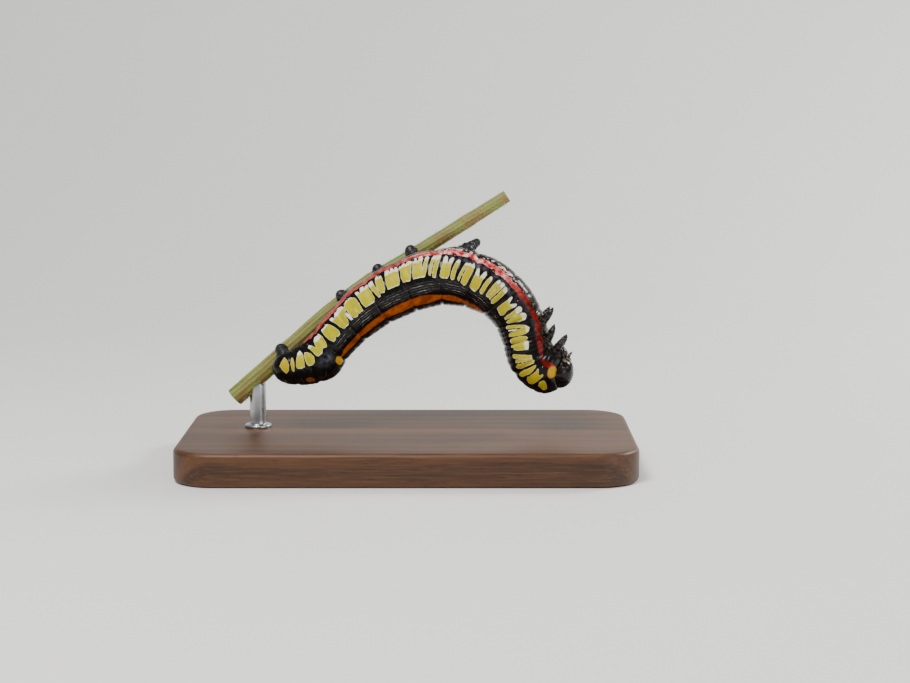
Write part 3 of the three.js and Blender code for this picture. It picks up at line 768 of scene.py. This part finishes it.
def stem_material():
    """Fresh stem: olive green with paler ridges, a brown flush on one side, pale pith at the cuts."""
    m = Surface("stem_skin", 0.6, Subsurface_Weight=0.05)
    ridge = m.value("ridge")
    stretched = m.together(m.value("turn") * 1.3, m.value("along") * 0.12)
    streak = m.noise(3, 4, stretched)
    base = m.mix(streak.step(0.3, 0.7), (78, 92, 30), (118, 130, 50))
    base = m.mix(ridge.step(0.2, 0.9) * 0.5, base, (150, 156, 84))
    flush = m.value("flush") * m.noise(0.5, 4).step(0.4, 0.65)
    base = m.mix(flush * 0.65, base, (122, 84, 50))
    spots = m.cells(2.4).step(0.16, 0.07) * 0.5
    base = m.mix(spots, base, (84, 74, 40))
    base = m.mix(m.value("scar"), base, (150, 120, 76))
    cut = m.mix(m.cells(4).step(0.1, 0.45), (168, 170, 110), (222, 216, 168))
    base = m.mix(m.value("cut"), base, cut)
    m.colour(base)
    m.rough(streak, 0.2, 0.48)
    m.bump(streak + m.noise(7, 3) * 0.5, 0.5, 0.06)
    return m.material


def wood_material():
    """Dark fine-grained hardwood, oiled, with its grain along X."""
    m = Surface("stand_wood", 0.45, Specular_IOR_Level=0.35)
    bent = m.wobble(0.06, 1.2, 3)
    x, y, z = m.apart()
    across = y + z * 0.7 + bent
    rings = m.noise(0.55, 3, m.together(x * 0.02, across, z * 0.3))
    fibre = m.noise(4.2, 4, m.together(x * 0.05, y, z))
    pores = m.noise(6.5, 1, m.together(x * 0.09, y * 1.5, z))
    base = m.mix(rings.step(0.32, 0.68), (50, 30, 18), (86, 54, 32))
    base = m.mix(fibre.step(0.4, 0.75) * 0.45, base, (108, 70, 42))
    base = m.mix(pores.step(0.66, 0.74) * 0.7, base, (38, 22, 13))
    m.colour(base)
    m.rough(fibre, 0.16, 0.38)
    m.bump(fibre * 0.5 - pores.step(0.64, 0.76), 0.25, 0.06)
    return m.material


def steel_material():
    """Plain steel, brushed upwards."""
    m = Surface("stand_steel", 0.3, Metallic=1)
    x, y, z = m.apart()
    brushed = m.noise(9, 3, m.together(x * 2, y * 2, z * 0.15))
    m.colour(m.mix(brushed, (148, 150, 153), (196, 197, 199)))
    m.rough(brushed, 0.2, 0.2)
    m.bump(brushed, 0.12, 0.02)
    return m.material


# Skin: one surface from the tail's tip to the collar behind the head.
SKIN_SIDES = 232
SKIN_RINGS = 390
TIP_RINGS = 26


def build_skin():
    tip = TAIL_ROUND * (1 - np.cos(np.linspace(0.02, math.pi / 2, TIP_RINGS)))
    s = np.concatenate([tip, np.linspace(TAIL_ROUND, BODY_LENGTH, SKIN_RINGS)[1:]])
    grid_s, angle = np.meshgrid(s, turns(SKIN_SIDES) - math.pi, indexing="ij")
    points = skin_point(grid_s, angle, 0.0, True)
    # The collar turns in behind the head.
    last = points[-1]
    middle = last.mean(0)
    points = np.concatenate([points, [middle + (last - middle) * k for k in (0.9, 0.7)]])
    down = np.degrees(np.abs(angle))
    block, pale = block_marks(grid_s, down)
    stripe = sum(np.interp(grid_s + shift, *zip(*STRIPE)) for shift in (-0.6, -0.2, 0.2, 0.6)) / 4
    red_along, red_middle, red_half = zip(*RED)
    off_red = np.abs(down - np.interp(grid_s, red_along, red_middle))
    values = {
        "along": grid_s,
        "down": down,
        "block": block,
        "pale": pale,
        "segment_place": segment_at(grid_s)[1],
        "stripe": stripe - down,
        "red": np.interp(grid_s, red_along, red_half) - off_red,
        "spiracle": spiracle_distance(grid_s, down),
    }
    for name, (at, facing, long, wide) in SPOTS.items():
        values[name] = np.hypot((grid_s - at) / long, (down - facing) / wide)
    # The turned-in rings carry the last ring's values.
    values = {k: np.concatenate([v, v[-1:], v[-1:]]) for k, v in values.items()}
    faces = closed_faces(len(points), SKIN_SIDES)
    piece("skin", points, faces, skin_material(), "skin", NAMES, values)


# Stem.
STEM_SIDES = 72
STEM_RINGS = 400
STEM_RIBS = 11
STEM_HAIRS = 1900
# Old leaf scars: the place along the stem from 0 to 1, and the angle each faces.
LEAF_SCARS = ((0.2, 1.1), (0.53, 4.1), (0.86, 2.2))
STEM_POINTS = [
    (-21.1, 2.2, 7.7),
    (-14.2, 2.6, 13.8),
    (-10.1, 3.0, 17.5),
    (-5.2, 3.3, 21.3),
    (0.3, 3.5, 24.7),
    (11.9, 3.6, 32.0),
]
# The stem's radius at its two ends.
STEM_LOW = 1.15
STEM_HIGH = 0.75
# A cut end's rings: the share of the way from the rim to the middle, and millimetres outward.
STEM_CUT = ((0.08, 0.06), (0.45, 0.02), (0.7, -0.1))


def centripetal(points, count):
    """A smooth curve through the points, spaced evenly along its length, and that length."""
    def between(a, b, low, high):
        return (high - t) / (high - low) * a + (t - low) / (high - low) * b

    p = [np.array(v, float) for v in points]
    p = [2 * p[0] - p[1]] + p + [2 * p[-1] - p[-2]]
    dense = []
    for i in range(1, len(p) - 2):
        a, b, c, d = p[i - 1 : i + 3]
        t0 = 0.0
        t1 = np.linalg.norm(b - a) ** 0.5
        t2 = t1 + np.linalg.norm(c - b) ** 0.5
        t3 = t2 + np.linalg.norm(d - c) ** 0.5
        for t in np.linspace(t1, t2, 120, endpoint=False):
            middle = between(b, c, t1, t2)
            before = between(between(a, b, t0, t1), middle, t0, t2)
            after = between(middle, between(c, d, t2, t3), t1, t3)
            dense.append(between(before, after, t1, t2))
    dense.append(p[-2])
    dense = np.array(dense)
    run = np.concatenate([[0], np.cumsum(np.linalg.norm(np.diff(dense, axis=0), axis=1))])
    even = np.linspace(0, run[-1], count)
    return np.stack([np.interp(even, run, dense[:, k]) for k in range(3)], -1), float(run[-1])


stem_line, STEM_LENGTH = centripetal(STEM_POINTS, STEM_RINGS)


def stem_near(point):
    """The point of the stem's middle line that is nearest to a point."""
    return stem_line[np.linalg.norm(stem_line - point, axis=1).argmin()]


def build_stem():
    ways, ring = rings_round(stem_line, STEM_SIDES)
    turn = turns(STEM_SIDES)
    part = np.linspace(0, 1, STEM_RINGS)[:, None]
    ridge = 0.5 + 0.5 * np.cos(STEM_RIBS * turn + 8.4 * part)
    radius = (STEM_LOW + (STEM_HIGH - STEM_LOW) * part) * (0.965 + 0.045 * ridge)
    scar = np.zeros_like(ridge)
    # Each leaf scar is on a slight swelling.
    for where, facing in LEAF_SCARS:
        away = (part - where) * STEM_LENGTH
        toward = np.angle(np.exp(1j * (turn - facing)))
        spot = bump(away, 0.34) * bump(toward, 0.55)
        radius = radius * (1 + 0.05 * bump(away, 0.9)) + 0.2 * spot
        scar = np.maximum(scar, np.clip((spot - 0.45) / 0.25, 0, 1))
    points = stem_line[:, None] + ring * radius[..., None]
    # Each cut end has a rounded rim and a shallow hollow in the pith.
    rims = []
    for i, outward in ((0, -ways[0]), (-1, ways[-1])):
        inward = stem_line[i] - points[i]
        rims.append([points[i] + inward * k + outward * d for k, d in STEM_CUT])
    grid = np.concatenate([rims[0][::-1], points, rims[1]])

    def padded(table, end=0.0):
        """A value for every point, with one value for both cut ends."""
        edge = np.full((len(STEM_CUT), STEM_SIDES), end)
        return np.concatenate([edge, np.broadcast_to(table, ridge.shape), edge])

    values = {
        "ridge": padded(ridge),
        "along": padded(part * STEM_LENGTH),
        "turn": padded(np.abs(np.angle(np.exp(1j * turn)))),
        "flush": padded(np.clip(np.cos(turn - 1.2), 0, 1)),
        "scar": padded(scar),
        "cut": padded(0.0, 1.0),
    }
    faces = closed_faces(len(grid), STEM_SIDES)
    piece("stem", grid, faces, stem_material(), "stalk", ["perch_stem"], values)
    # Short stiff hairs, leaning towards the tip.
    hairs = Batch()
    for _ in range(STEM_HAIRS):
        i = random.randrange(6, STEM_RINGS - 6)
        k = random.randrange(STEM_SIDES)
        root = points[i, k] - ring[i, k] * 0.02
        out = ring[i, k] + ways[i] * random.uniform(0.1, 0.8)
        out = out + np.cross(ring[i, k], ways[i]) * random.uniform(-0.4, 0.4)
        spot = (i / STEM_RINGS, k / STEM_SIDES)
        add_hair(hairs, root, unit(out), random.uniform(0.22, 0.5), 0.016, spot)
    hairs.make("stem_hairs", hair_material("stem_hair", (196, 200, 160), (236, 236, 214)), "stalk")


def add_hair(batch, root, way, length, radius, spot, bend=(0.0, 0.0, 0.0)):
    """A thin bent three-sided spike. spot is its root's place on the unwrapped surface."""
    side = unit(np.cross(way, (0.31, 0.52, 0.79)))
    over = np.cross(side, way)
    rows = []
    for t, thick in ((0.0, 1.0), (0.5, 0.62), (1.0, 0.08)):
        centre = root + way * (length * t) + np.array(bend) * (length * t * t)
        for turn in turns(3):
            rows.append(centre + (side * math.cos(turn) + over * math.sin(turn)) * radius * thick)
    place = np.repeat([0.0, 0.5, 1.0], 3)
    patch = [(spot[0] + 0.003 * p, spot[1] + 0.001 * (k % 3)) for k, p in enumerate(place)]
    batch.add(rows, grid_faces(3, 3), patch, place=place)


# Prolegs: fleshy, with a band of small hooks on the sole.
SIDES = (("left", 1), ("right", -1))
PROLEG_BASE = 1.0
PROLEG_SPREAD = 1.15
TAIL_PROLEG_SPREAD = 1.7
# How far each pair on the abdomen steps towards the head. The free pair doesn't reach the stem.
PROLEG_SHIFTS = {3: 2.5, 4: 0.3, 5: -0.1, 6: -1.1}
FREE_PROLEG = 3
FREE_SPREAD = 1.35
FREE_REACH = 4.5
# Neck and foot radius.
GRIPPING_SIZE = (0.66, 0.8)
FREE_SIZE = (0.62, 0.56)
# Place along, shift of the sole, radius as a share of the base's (0), neck's (1) or foot's (2).
PROLEG_SHAPE = [
    (0, 0, 0, 1.02), (0.3, 0, 0, 0.98), (0.42, 0, 0, 0.84), (0.52, 0, 0, 0.86), (0.64, 0, 1, 1.06),
    (0.72, 0, 1, 1.04), (0.84, 0, 2, 0.98), (0.95, 0.06, 2, 0.9), (1, 0.12, 2, 0.62), (1.01, 0.15, 2, 0.2),
]
PROLEG_RINGS = 46
PROLEG_SIDES = 40
HOOKS = 15


def build_prolegs():
    flesh = proleg_material()
    hooks = hard_material("crochets", (70, 34, 14), (120, 66, 26), 0.25)
    jobs = []
    for number, shift in PROLEG_SHIFTS.items():
        s = MIDDLES[10 - number]
        at, forward, back, _ = body_frame(s)
        if number == FREE_PROLEG:
            jobs.append((number, s, at - back * FREE_REACH + forward * shift, FREE_SPREAD))
        else:
            jobs.append((number, s, stem_near(at + forward * shift), PROLEG_SPREAD))
    s = 0.62 * LENGTHS[0]
    jobs.append((10, s, stem_near(body_frame(s)[0]), TAIL_PROLEG_SPREAD))
    for number, s, target, spread in jobs:
        _, forward, back, left = body_frame(s)
        free = number == FREE_PROLEG
        sizes = (PROLEG_BASE,) + (FREE_SIZE if free else GRIPPING_SIZE)
        for word, side in SIDES:
            root = skin_point(s, math.pi - side * math.radians(34), -1.0)
            foot = target + left * (side * spread)
            reach = foot - root
            way = unit(reach)
            # A gripping foot turns its sole to the stem.
            grip = -left * side if free else unit(stem_near(foot) - foot)
            stations = [
                (root + reach * t + grip * shift, sizes[part] * share)
                for t, shift, part, share in PROLEG_SHAPE
            ]
            stations = smooth_stations(stations, PROLEG_RINGS)
            points, faces, place = tube(stations, PROLEG_SIDES, up=grip)
            turn = np.tile(turns(PROLEG_SIDES), PROLEG_RINGS)
            ripple = 0.03 * np.sin(place * 60) * (place < 0.75) + 0.02 * np.sin(3 * turn + 9 * place)
            points = points + (points - root - np.outer(place, reach)) * ripple[:, None]
            batch = Batch()
            batch.add(points, faces, joint=np.clip((place - 0.9) / 0.08, 0, 1) * 0.7)
            name = f"proleg_{number}_{word}"
            batch.make(f"flesh_{name}", flesh, "proleg", [name])
            band = Batch()
            across = unit(np.cross(way, grip))
            for k in range(HOOKS):
                t = (k / (HOOKS - 1) - 0.5) * 1.9
                mid = root + reach * 0.93 + grip * (sizes[2] * 0.78 * math.cos(t) + 0.1)
                mid = mid + across * (sizes[2] * 0.86 * math.sin(t))
                add_hair(band, mid, unit(way * 0.8 + grip * 0.25), 0.26, 0.035, (0.3, 0.3), grip * 0.9)
            band.make(f"hooks_{name}", hooks, "proleg")


# Head. Its directions are forward, left and back, as rows of HEAD_BASIS.
HEAD_RADIUS = 2.0
HEAD_DEPTH = 1.7
HEAD_PITCH = math.radians(8)
HEAD_YAW = math.radians(-8)
HEAD_AHEAD = 0.25
HEAD_DROP = 0.05
HEAD_ROWS = 110
HEAD_COLUMNS = 168
EYES = 6
EYE_RADIUS = 0.17
# Distance along and radius of the small tapered parts.
PALP = [(0, 0.3), (0.22, 0.3), (0.26, 0.2), (0.46, 0.2), (0.5, 0.13), (0.68, 0.12), (0.74, 0.04)]
SPIGOT = [(0, 0.34), (0.3, 0.3), (0.4, 0.14), (0.7, 0.09), (0.8, 0.03)]
ANTENNA = [
    (0, 0.38), (0.32, 0.37), (0.44, 0.3), (0.5, 0.24), (0.7, 0.25), (0.78, 0.22), (0.8, 0.17),
    (1.06, 0.17), (1.14, 0.14), (1.16, 0.09), (1.28, 0.085), (1.33, 0.03),
]

head_forward = np.array([
    math.cos(HEAD_PITCH) * math.cos(HEAD_YAW),
    math.sin(HEAD_YAW),
    math.sin(HEAD_PITCH) * math.cos(HEAD_YAW),
])
head_back = np.array([math.sin(HEAD_PITCH), 0.0, -math.cos(HEAD_PITCH)])
head_back = unit(head_back - head_forward * float(head_back @ head_forward))
head_left = np.cross(head_back, head_forward)
HEAD_BASIS = np.array([head_forward, head_left, head_back])
head_centre = body_frame(BODY_LENGTH)[0] + head_forward * HEAD_AHEAD + head_back * HEAD_DROP


def capsule_point(d, grow=0.0):
    """The head's surface in unit directions d = (forward, left, back)."""
    dx, dy, dz = np.moveaxis(np.asarray(d, float), -1, 0)
    low = np.maximum(0, -dz)
    groove = 0.07 * np.exp(-((dy / 0.14) ** 2)) * np.maximum(0, dz + 0.3)
    lobe = 1 + 0.05 * np.abs(dy) - groove
    x = (HEAD_DEPTH * lobe + 0.25 * low + grow) * dx
    y = (HEAD_RADIUS * lobe * (1 - 0.26 * low * low) + grow) * dy
    z = (HEAD_RADIUS * lobe * 0.98 + grow) * dz
    return head_centre + np.stack([x, y, z], -1) @ HEAD_BASIS


def head_direction(aside, up):
    """A unit direction from degrees aside of straight ahead and up towards the crown."""
    aside, up = math.radians(aside), math.radians(up)
    return np.array([math.cos(up) * math.cos(aside), math.cos(up) * math.sin(aside), math.sin(up)])


def seam_depth(d):
    """How near a direction is to one of the head's seams, 1 on the seam."""
    aside = np.degrees(np.arctan2(np.abs(d[..., 1]), d[..., 0]))
    up = np.degrees(np.arcsin(np.clip(d[..., 2], -1, 1)))
    middle = bump(d[..., 1], 0.03) * (up > 22) * (d[..., 0] > -0.6)
    # Two seams part on the brow and run down beside the face's triangle.
    slope = 4 + (24 - up) * 0.36
    outer = bump((aside - slope) / 2.2, 1.0) * (up < 24) * (up > -50)
    inner = bump((aside - slope * 0.68) / 1.8, 1.0) * (up < 12) * (up > -46) * 0.7
    return np.clip(np.maximum(np.maximum(middle, outer), inner), 0, 1)


def sphere(rows, sides, pole):
    """Unit directions in rings, from one pole to the other and an angle short of both."""
    tilt, turn = np.meshgrid(np.linspace(pole, math.pi - pole, rows), turns(sides), indexing="ij")
    return np.stack([np.sin(tilt) * np.cos(turn), np.sin(tilt) * np.sin(turn), np.cos(tilt)], -1)


def blob(centre, size, sides, rows):
    """Points and faces of an ellipsoid with axes along the head's directions."""
    local = np.roll(sphere(rows, sides, 0.06), 1, -1) * size
    return (centre + local @ HEAD_BASIS).reshape(-1, 3), closed_faces(rows, sides)


def build_head():
    d = sphere(HEAD_ROWS, HEAD_COLUMNS, 0.02)
    seam = seam_depth(d)
    uneven = 0.006 * np.sin(d[..., 1] * 21) * np.sin(d[..., 2] * 17 + 1)
    shape = capsule_point(d)
    shape = shape + unit(shape - head_centre) * (uneven - seam * 0.055)[..., None]
    capsule = Batch()
    faces = closed_faces(HEAD_ROWS, HEAD_COLUMNS)
    capsule.add(shape, faces, seam=seam.ravel() * 0.6, lip=0.0, membrane=0.0)
    eyes = Batch()
    for side in (1, -1):
        for k in range(EYES):
            bend = math.radians(k / (EYES - 1) * 150 - 40)
            aside = 62 + 11 * math.cos(bend) - (8 if k == EYES - 1 else 0)
            way = head_direction(side * aside, -30 + 14 * math.sin(bend))
            centre = capsule_point(way, -0.05)
            eyes.add(*blob(centre, (EYE_RADIUS,) * 3, 24, 14))
            # A fine rim round the eye.
            out = unit(capsule_point(way, 1.0) - capsule_point(way))
            around = unit(np.cross(out, head_back))
            other = np.cross(out, around)
            loop = [
                (centre + out * 0.05 + (around * math.cos(t) + other * math.sin(t)) * 0.185, 0.022)
                for t in np.linspace(0, 2 * math.pi, 25)
            ]
            points, faces, _ = tube(loop, 6, up=out, cap=False)
            capsule.add(points, faces, seam=0.8)
    # The plate above the lip, its soft hinge and the notched lip.
    plate = capsule_point(head_direction(0, -44), -0.1)
    capsule.add(*blob(plate, (0.34, 0.8, 0.26), 32, 16), seam=0.5)
    hinge = capsule_point(head_direction(0, -50), -0.08)
    capsule.add(*blob(hinge, (0.3, 0.7, 0.24), 32, 16), membrane=0.85)
    for side in (1, -1):
        centre = capsule_point(head_direction(0, -54), -0.02)
        centre = centre + head_left * (0.24 * side) - head_back * 0.12
        capsule.add(*blob(centre, (0.26, 0.4, 0.36), 28, 14), lip=0.8)
    # Palps and the silk spigot below the jaws.
    for side in (1, -1):
        root = capsule_point(head_direction(side * 62, -72), -0.15)
        way = unit(head_forward * 0.42 - head_back * 0.9 - head_left * side * 0.1)
        points, faces, place = taper(root, way, PALP, 18)
        capsule.add(points, faces, seam=0.4, membrane=np.where(abs(place - 0.4) < 0.1, 0.7, 0.0))
    root = capsule_point(head_direction(0, -84), -0.2)
    way = unit(head_forward * 0.3 - head_back * 0.95)
    points, faces, place = taper(root, way, SPIGOT, 20)
    capsule.add(points, faces, lip=np.where(place > 0.45, 0.9, 0.2))
    capsule.make("head_capsule", head_material(), "capsule", ["head"])
    eyes.make("eyes", hard_material("eye_lens", (8, 7, 7), (26, 20, 17), 0.12), "capsule")
    build_mouth()


def build_mouth():
    jaw_material = hard_material("jaw", (20, 13, 10), (58, 32, 18), 0.18)
    feeler_material = limb_material("feeler", (150, 132, 108))
    for word, side in SIDES:
        # Jaw: a rounded wedge with teeth along its biting edge.
        centre = capsule_point(head_direction(side * 17, -68), 0.28) + head_left * (side * 0.2)
        points, faces = blob(centre, (0.5, 0.42, 0.8), 40, 24)
        local = (points - centre) @ HEAD_BASIS.T
        tip = np.clip(-local[:, 2] / 0.8, 0, 1)
        inward = np.clip(-side * local[:, 1] / 0.42, 0, 1)
        local[:, 2] -= 0.117 * np.abs(np.sin(local[:, 0] * 9)) * tip * inward
        local[:, 0] *= 1 - 0.25 * tip
        points = centre + local @ HEAD_BASIS
        piece(f"jaw_{word}", points, faces, jaw_material, "capsule", [f"mandible_{word}"])
        # Antenna: a pale socket, two joints and a bristle.
        way = unit(head_forward * 0.75 + head_left * side * 0.45 - head_back * 0.55)
        root = capsule_point(head_direction(side * 47, -48), -0.3)
        points, faces, place = taper(root, way, ANTENNA, 22)
        pale = np.where((place < 0.3) | (abs(place - 0.55) < 0.03), 1.0, 0.0)
        feeler = Batch()
        feeler.add(points, faces, joint=pale)
        add_plain_hair(feeler, root + way * 1.28, way, 0.5, 0.018)
        feeler.make(f"feeler_{word}", feeler_material, "capsule", [f"antenna_{word}"])


def add_plain_hair(batch, root, way, length, radius):
    """A thin straight five-sided hair in the colour of the limb it stands on."""
    stations = [(root + way * length * t, radius * r) for t, r in ((0, 1), (0.5, 0.6), (1, 0.1))]
    points, faces, _ = tube(stations, 5, up=(0.3, 0.5, 0.8))
    batch.add(points, faces, joint=0.0)


# Legs: three pairs, jointed, each ending in a claw.
LEG_REACH = 2.9
LEG_BASE = 0.54
# How far each pair leans towards the head.
LEG_LEAN = {1: 0.25, 2: -0.75, 3: -0.6}
# Place along, bend towards the hook, radius as a share of the base, joint.
LEG_SHAPE = [
    (0, 0, 1, 0), (0.18, 0, 1.06, 0), (0.33, 0, 1, 0), (0.38, 0.01, 0.9, 1), (0.43, 0.02, 0.9, 0),
    (0.55, 0.06, 0.86, 0), (0.6, 0.09, 0.74, 1), (0.65, 0.13, 0.74, 0), (0.75, 0.26, 0.66, 0),
    (0.79, 0.34, 0.52, 1), (0.83, 0.44, 0.5, 0), (0.88, 0.6, 0.4, 0), (0.92, 0.76, 0.23, 0),
    (0.955, 0.92, 0.14, 0), (0.985, 1.1, 0.03, 0),
]
LEG_RINGS = 71
LEG_SIDES = 28
LEG_HAIRS = 9


def build_legs():
    material = limb_material("leg_cuticle", (74, 56, 46))
    finer = np.linspace(0, len(LEG_SHAPE) - 1, LEG_RINGS)
    place, bend, size, joint = (np.interp(finer, range(len(LEG_SHAPE)), c) for c in zip(*LEG_SHAPE))
    bend, size = (
        np.convolve(np.pad(c, 3, mode="edge"), np.ones(7) / 7, "valid") for c in (bend, size)
    )
    for number, lean in LEG_LEAN.items():
        k = NAMES.index(f"thorax_{number}")
        s = STARTS[k] + 0.55 * LENGTHS[k]
        _, forward, back, left = body_frame(s)
        for word, side in SIDES:
            root = skin_point(s, math.pi - side * math.radians(38), -0.8)
            out = unit(-back + left * (side * 0.5) + forward * lean)
            hook = left * (-side * 0.45) - forward * 0.2
            stations = [
                (root + out * (t * LEG_REACH) + hook * b, LEG_BASE * r)
                for t, b, r in zip(place, bend, size)
            ]
            points, faces, _ = tube(stations, LEG_SIDES, up=forward)
            leg = Batch()
            leg.add(points, faces, joint=np.repeat(joint**3, LEG_SIDES))
            for _ in range(LEG_HAIRS):
                centre, thick = stations[random.randrange(14, 58)]
                turn = random.uniform(0, 2 * math.pi)
                across = left * math.cos(turn) + forward * math.sin(turn)
                add_plain_hair(leg, centre + across * thick * 0.9, unit(across + out * 0.6), 0.42, 0.014)
            leg.make(f"jointed_leg_{number}_{word}", material, "capsule", [f"leg_{number}_{word}"])


# Bristles: a few on every segment, in rows, and on the head.
BRISTLE_RADIUS = 0.013
# Degrees down and the place in the segment; degrees aside and up on the head.
BODY_BRISTLES = ((14, 0.3), (33, 0.68), (66, 0.5), (92, 0.3), (104, 0.74), (124, 0.5), (150, 0.42))
HEAD_BRISTLES = (
    (12, 48), (30, 30), (48, 12), (26, 4), (70, 20), (40, -18), (88, -8), (16, -24), (95, 40),
)


def build_bristles():
    batch = Batch()
    for k in range(len(SEGMENTS)):
        for side in (1, -1):
            for down, place in BODY_BRISTLES:
                s = STARTS[k] + LENGTHS[k] * (place + random.uniform(-0.05, 0.05))
                if s < 0.5 or (k == 0 and down > 130):
                    continue
                angle = side * math.radians(down + random.uniform(-2, 2))
                root = skin_point(s, angle, -0.02, True)
                at, forward, _, _ = body_frame(s)
                out = unit(root - at)
                lean = -forward * 0.5 if s < 20 else forward * 0.4
                way = unit(out + lean + np.array([random.uniform(-0.2, 0.2) for _ in range(3)]))
                spot = (s / BODY_LENGTH, 0.5 + angle / (2 * math.pi))
                add_hair(batch, root, way, random.uniform(0.45, 0.95), BRISTLE_RADIUS, spot, lean * 0.25)
    for side in (1, -1):
        for aside, up in HEAD_BRISTLES:
            root = capsule_point(head_direction(side * aside, up), -0.02)
            way = unit(unit(root - head_centre) + head_forward * 0.4)
            add_hair(batch, root, way, random.uniform(0.4, 0.75), BRISTLE_RADIUS, (0.99, 0.5))
    batch.make("bristles", hair_material("bristle", (24, 20, 19), (120, 104, 90)), "skin")


# Stand.
BASE_WIDTH = 54.0
BASE_DEPTH = 30.0
BASE_HEIGHT = 4.0
BASE_CORNER = 5.0
BASE_BEVEL = 0.6
ROD_X = -18.2


BASE_CORNER_POINTS = 14
ROD_SIDES = 64
# The rod's radius and height, with a thin collar where it enters the wood.
ROD_FOOT = [
    (0.9, 3.9), (1.62, 3.9), (1.62, 4.28), (1.56, 4.36), (1.46, 4.4), (1.04, 4.42), (1.0, 4.5),
    (1.0, 5.0), (1.0, 6.5), (1.0, 8.0),
]
# The rod's radius and depth under the stem's middle line.
ROD_TOP = [(1.0, 1.2), (0.97, 0.9), (0.9, 0.5), (0.5, 0.3)]


def build_stand():
    bevel = [
        (BASE_BEVEL * (1 - math.sin(t)), BASE_BEVEL * (1 - math.cos(t)))
        for t in np.linspace(0, math.pi / 2, 9)
    ]
    lower = [(12.0, 0.0), (3.0, 0.0)] + bevel
    rings = []
    for inset, z in lower + [(inset, BASE_HEIGHT - z) for inset, z in reversed(lower)]:
        corner = max(BASE_CORNER - inset, 0.4)
        ring = []
        for k, (sx, sy) in enumerate(((1, 1), (-1, 1), (-1, -1), (1, -1))):
            for j in range(BASE_CORNER_POINTS):
                t = math.pi / 2 * (k + j / (BASE_CORNER_POINTS - 1))
                x = sx * (BASE_WIDTH / 2 - inset - corner) + corner * math.cos(t)
                y = sy * (BASE_DEPTH / 2 - inset - corner) + corner * math.sin(t)
                ring.append((x, y, z))
        rings.append(ring)
    faces = closed_faces(len(rings), 4 * BASE_CORNER_POINTS)
    piece("base_board", rings, faces, wood_material(), "base", ["stand_base"])
    x, y, z = stem_near(np.array([ROD_X, STEM_POINTS[0][1], 10.0]))
    profile = ROD_FOOT + [(r, z - depth) for r, depth in ROD_TOP]
    rings = [
        [(x + r * math.cos(t), y + r * math.sin(t), height) for t in turns(ROD_SIDES)]
        for r, height in profile
    ]
    faces = closed_faces(len(rings), ROD_SIDES)
    piece("support_rod", rings, faces, steel_material(), "rod", ["stand_rod"])


# Camera, floor and lights.
LENS = 80.8
SENSOR = 36.0
CAMERA_TARGET = np.array([5.64, 0.0, 14.82])
CAMERA_DISTANCE = 245.0
CAMERA_UP = math.radians(8)
LIGHT_TARGET = np.array([2.0, 0.0, 16.0])
# Name, place, size, power in watts, colour.
LIGHTS = (
    ("key", (-90, -160, 280), 120, 1.25, (1.0, 0.97, 0.92)),
    ("fill", (230, -220, 90), 160, 0.26, (0.92, 0.96, 1.0)),
    ("rim", (230, 120, 170), 80, 0.7, (1.0, 0.99, 0.96)),
)
SKY = (0.86, 0.93, 1.0, 1.0)
SKY_STRENGTH = 0.3
FLOOR_HALF = 700.0
FLOOR_FRONT = -500
FLOOR_BACK = 120
WALL_BEND = 160
WALL_TOP = 700


def look(thing, at, target):
    """Puts a thing at a point, turned so that its -Z looks at the target."""
    z = unit(at - target)
    x = unit(np.cross((0.0, 0.0, 1.0), z))
    y = np.cross(z, x)
    table = np.eye(4)
    table[:3, 0], table[:3, 1], table[:3, 2], table[:3, 3] = x, y, z, at
    thing.matrix_world = Matrix(table.tolist())


def build_camera():
    data = bpy.data.cameras.new("camera")
    data.lens = LENS
    data.sensor_width = SENSOR
    data.sensor_fit = "HORIZONTAL"
    data.clip_start = 0.01
    data.clip_end = 20.0
    camera = linked("camera", data)
    eye = CAMERA_TARGET + CAMERA_DISTANCE * np.array([0.0, -math.cos(CAMERA_UP), math.sin(CAMERA_UP)])
    look(camera, eye * MM, CAMERA_TARGET * MM)
    bpy.context.scene.camera = camera


def build_stage():
    # A floor that turns up into a wall far behind the stand.
    profile = [(FLOOR_FRONT, 0), (-100, 0), (FLOOR_BACK, 0)]
    for t in np.linspace(0.1, math.pi / 2, 14):
        profile.append((FLOOR_BACK + WALL_BEND * math.sin(t), WALL_BEND * (1 - math.cos(t))))
    profile.append((FLOOR_BACK + WALL_BEND, WALL_TOP))
    points = [(x, y, z) for y, z in profile for x in (-FLOOR_HALF, 0.0, FLOOR_HALF)]
    m = Surface("floor", 0.7)
    m.colour(m.mix(m.noise(0.02, 3.0), (236, 236, 233), (241, 241, 239)))
    floor = piece("floor", points, grid_faces(len(profile), 3, closed=False), m.material, None)
    world = bpy.data.worlds.new("studio")
    world.use_nodes = True
    sky = world.node_tree.nodes["Background"]
    sky.inputs["Color"].default_value = SKY
    sky.inputs["Strength"].default_value = SKY_STRENGTH
    bpy.context.scene.world = world
    for name, at, size, energy, colour in LIGHTS:
        data = bpy.data.lights.new(name, "AREA")
        data.size = size * MM
        data.energy = energy
        data.color = colour
        look(linked(name, data), np.array(at) * MM, LIGHT_TARGET * MM)


build_camera()
build_skin()
build_prolegs()
build_legs()
build_head()
build_bristles()
build_stem()
build_stand()
build_stage()
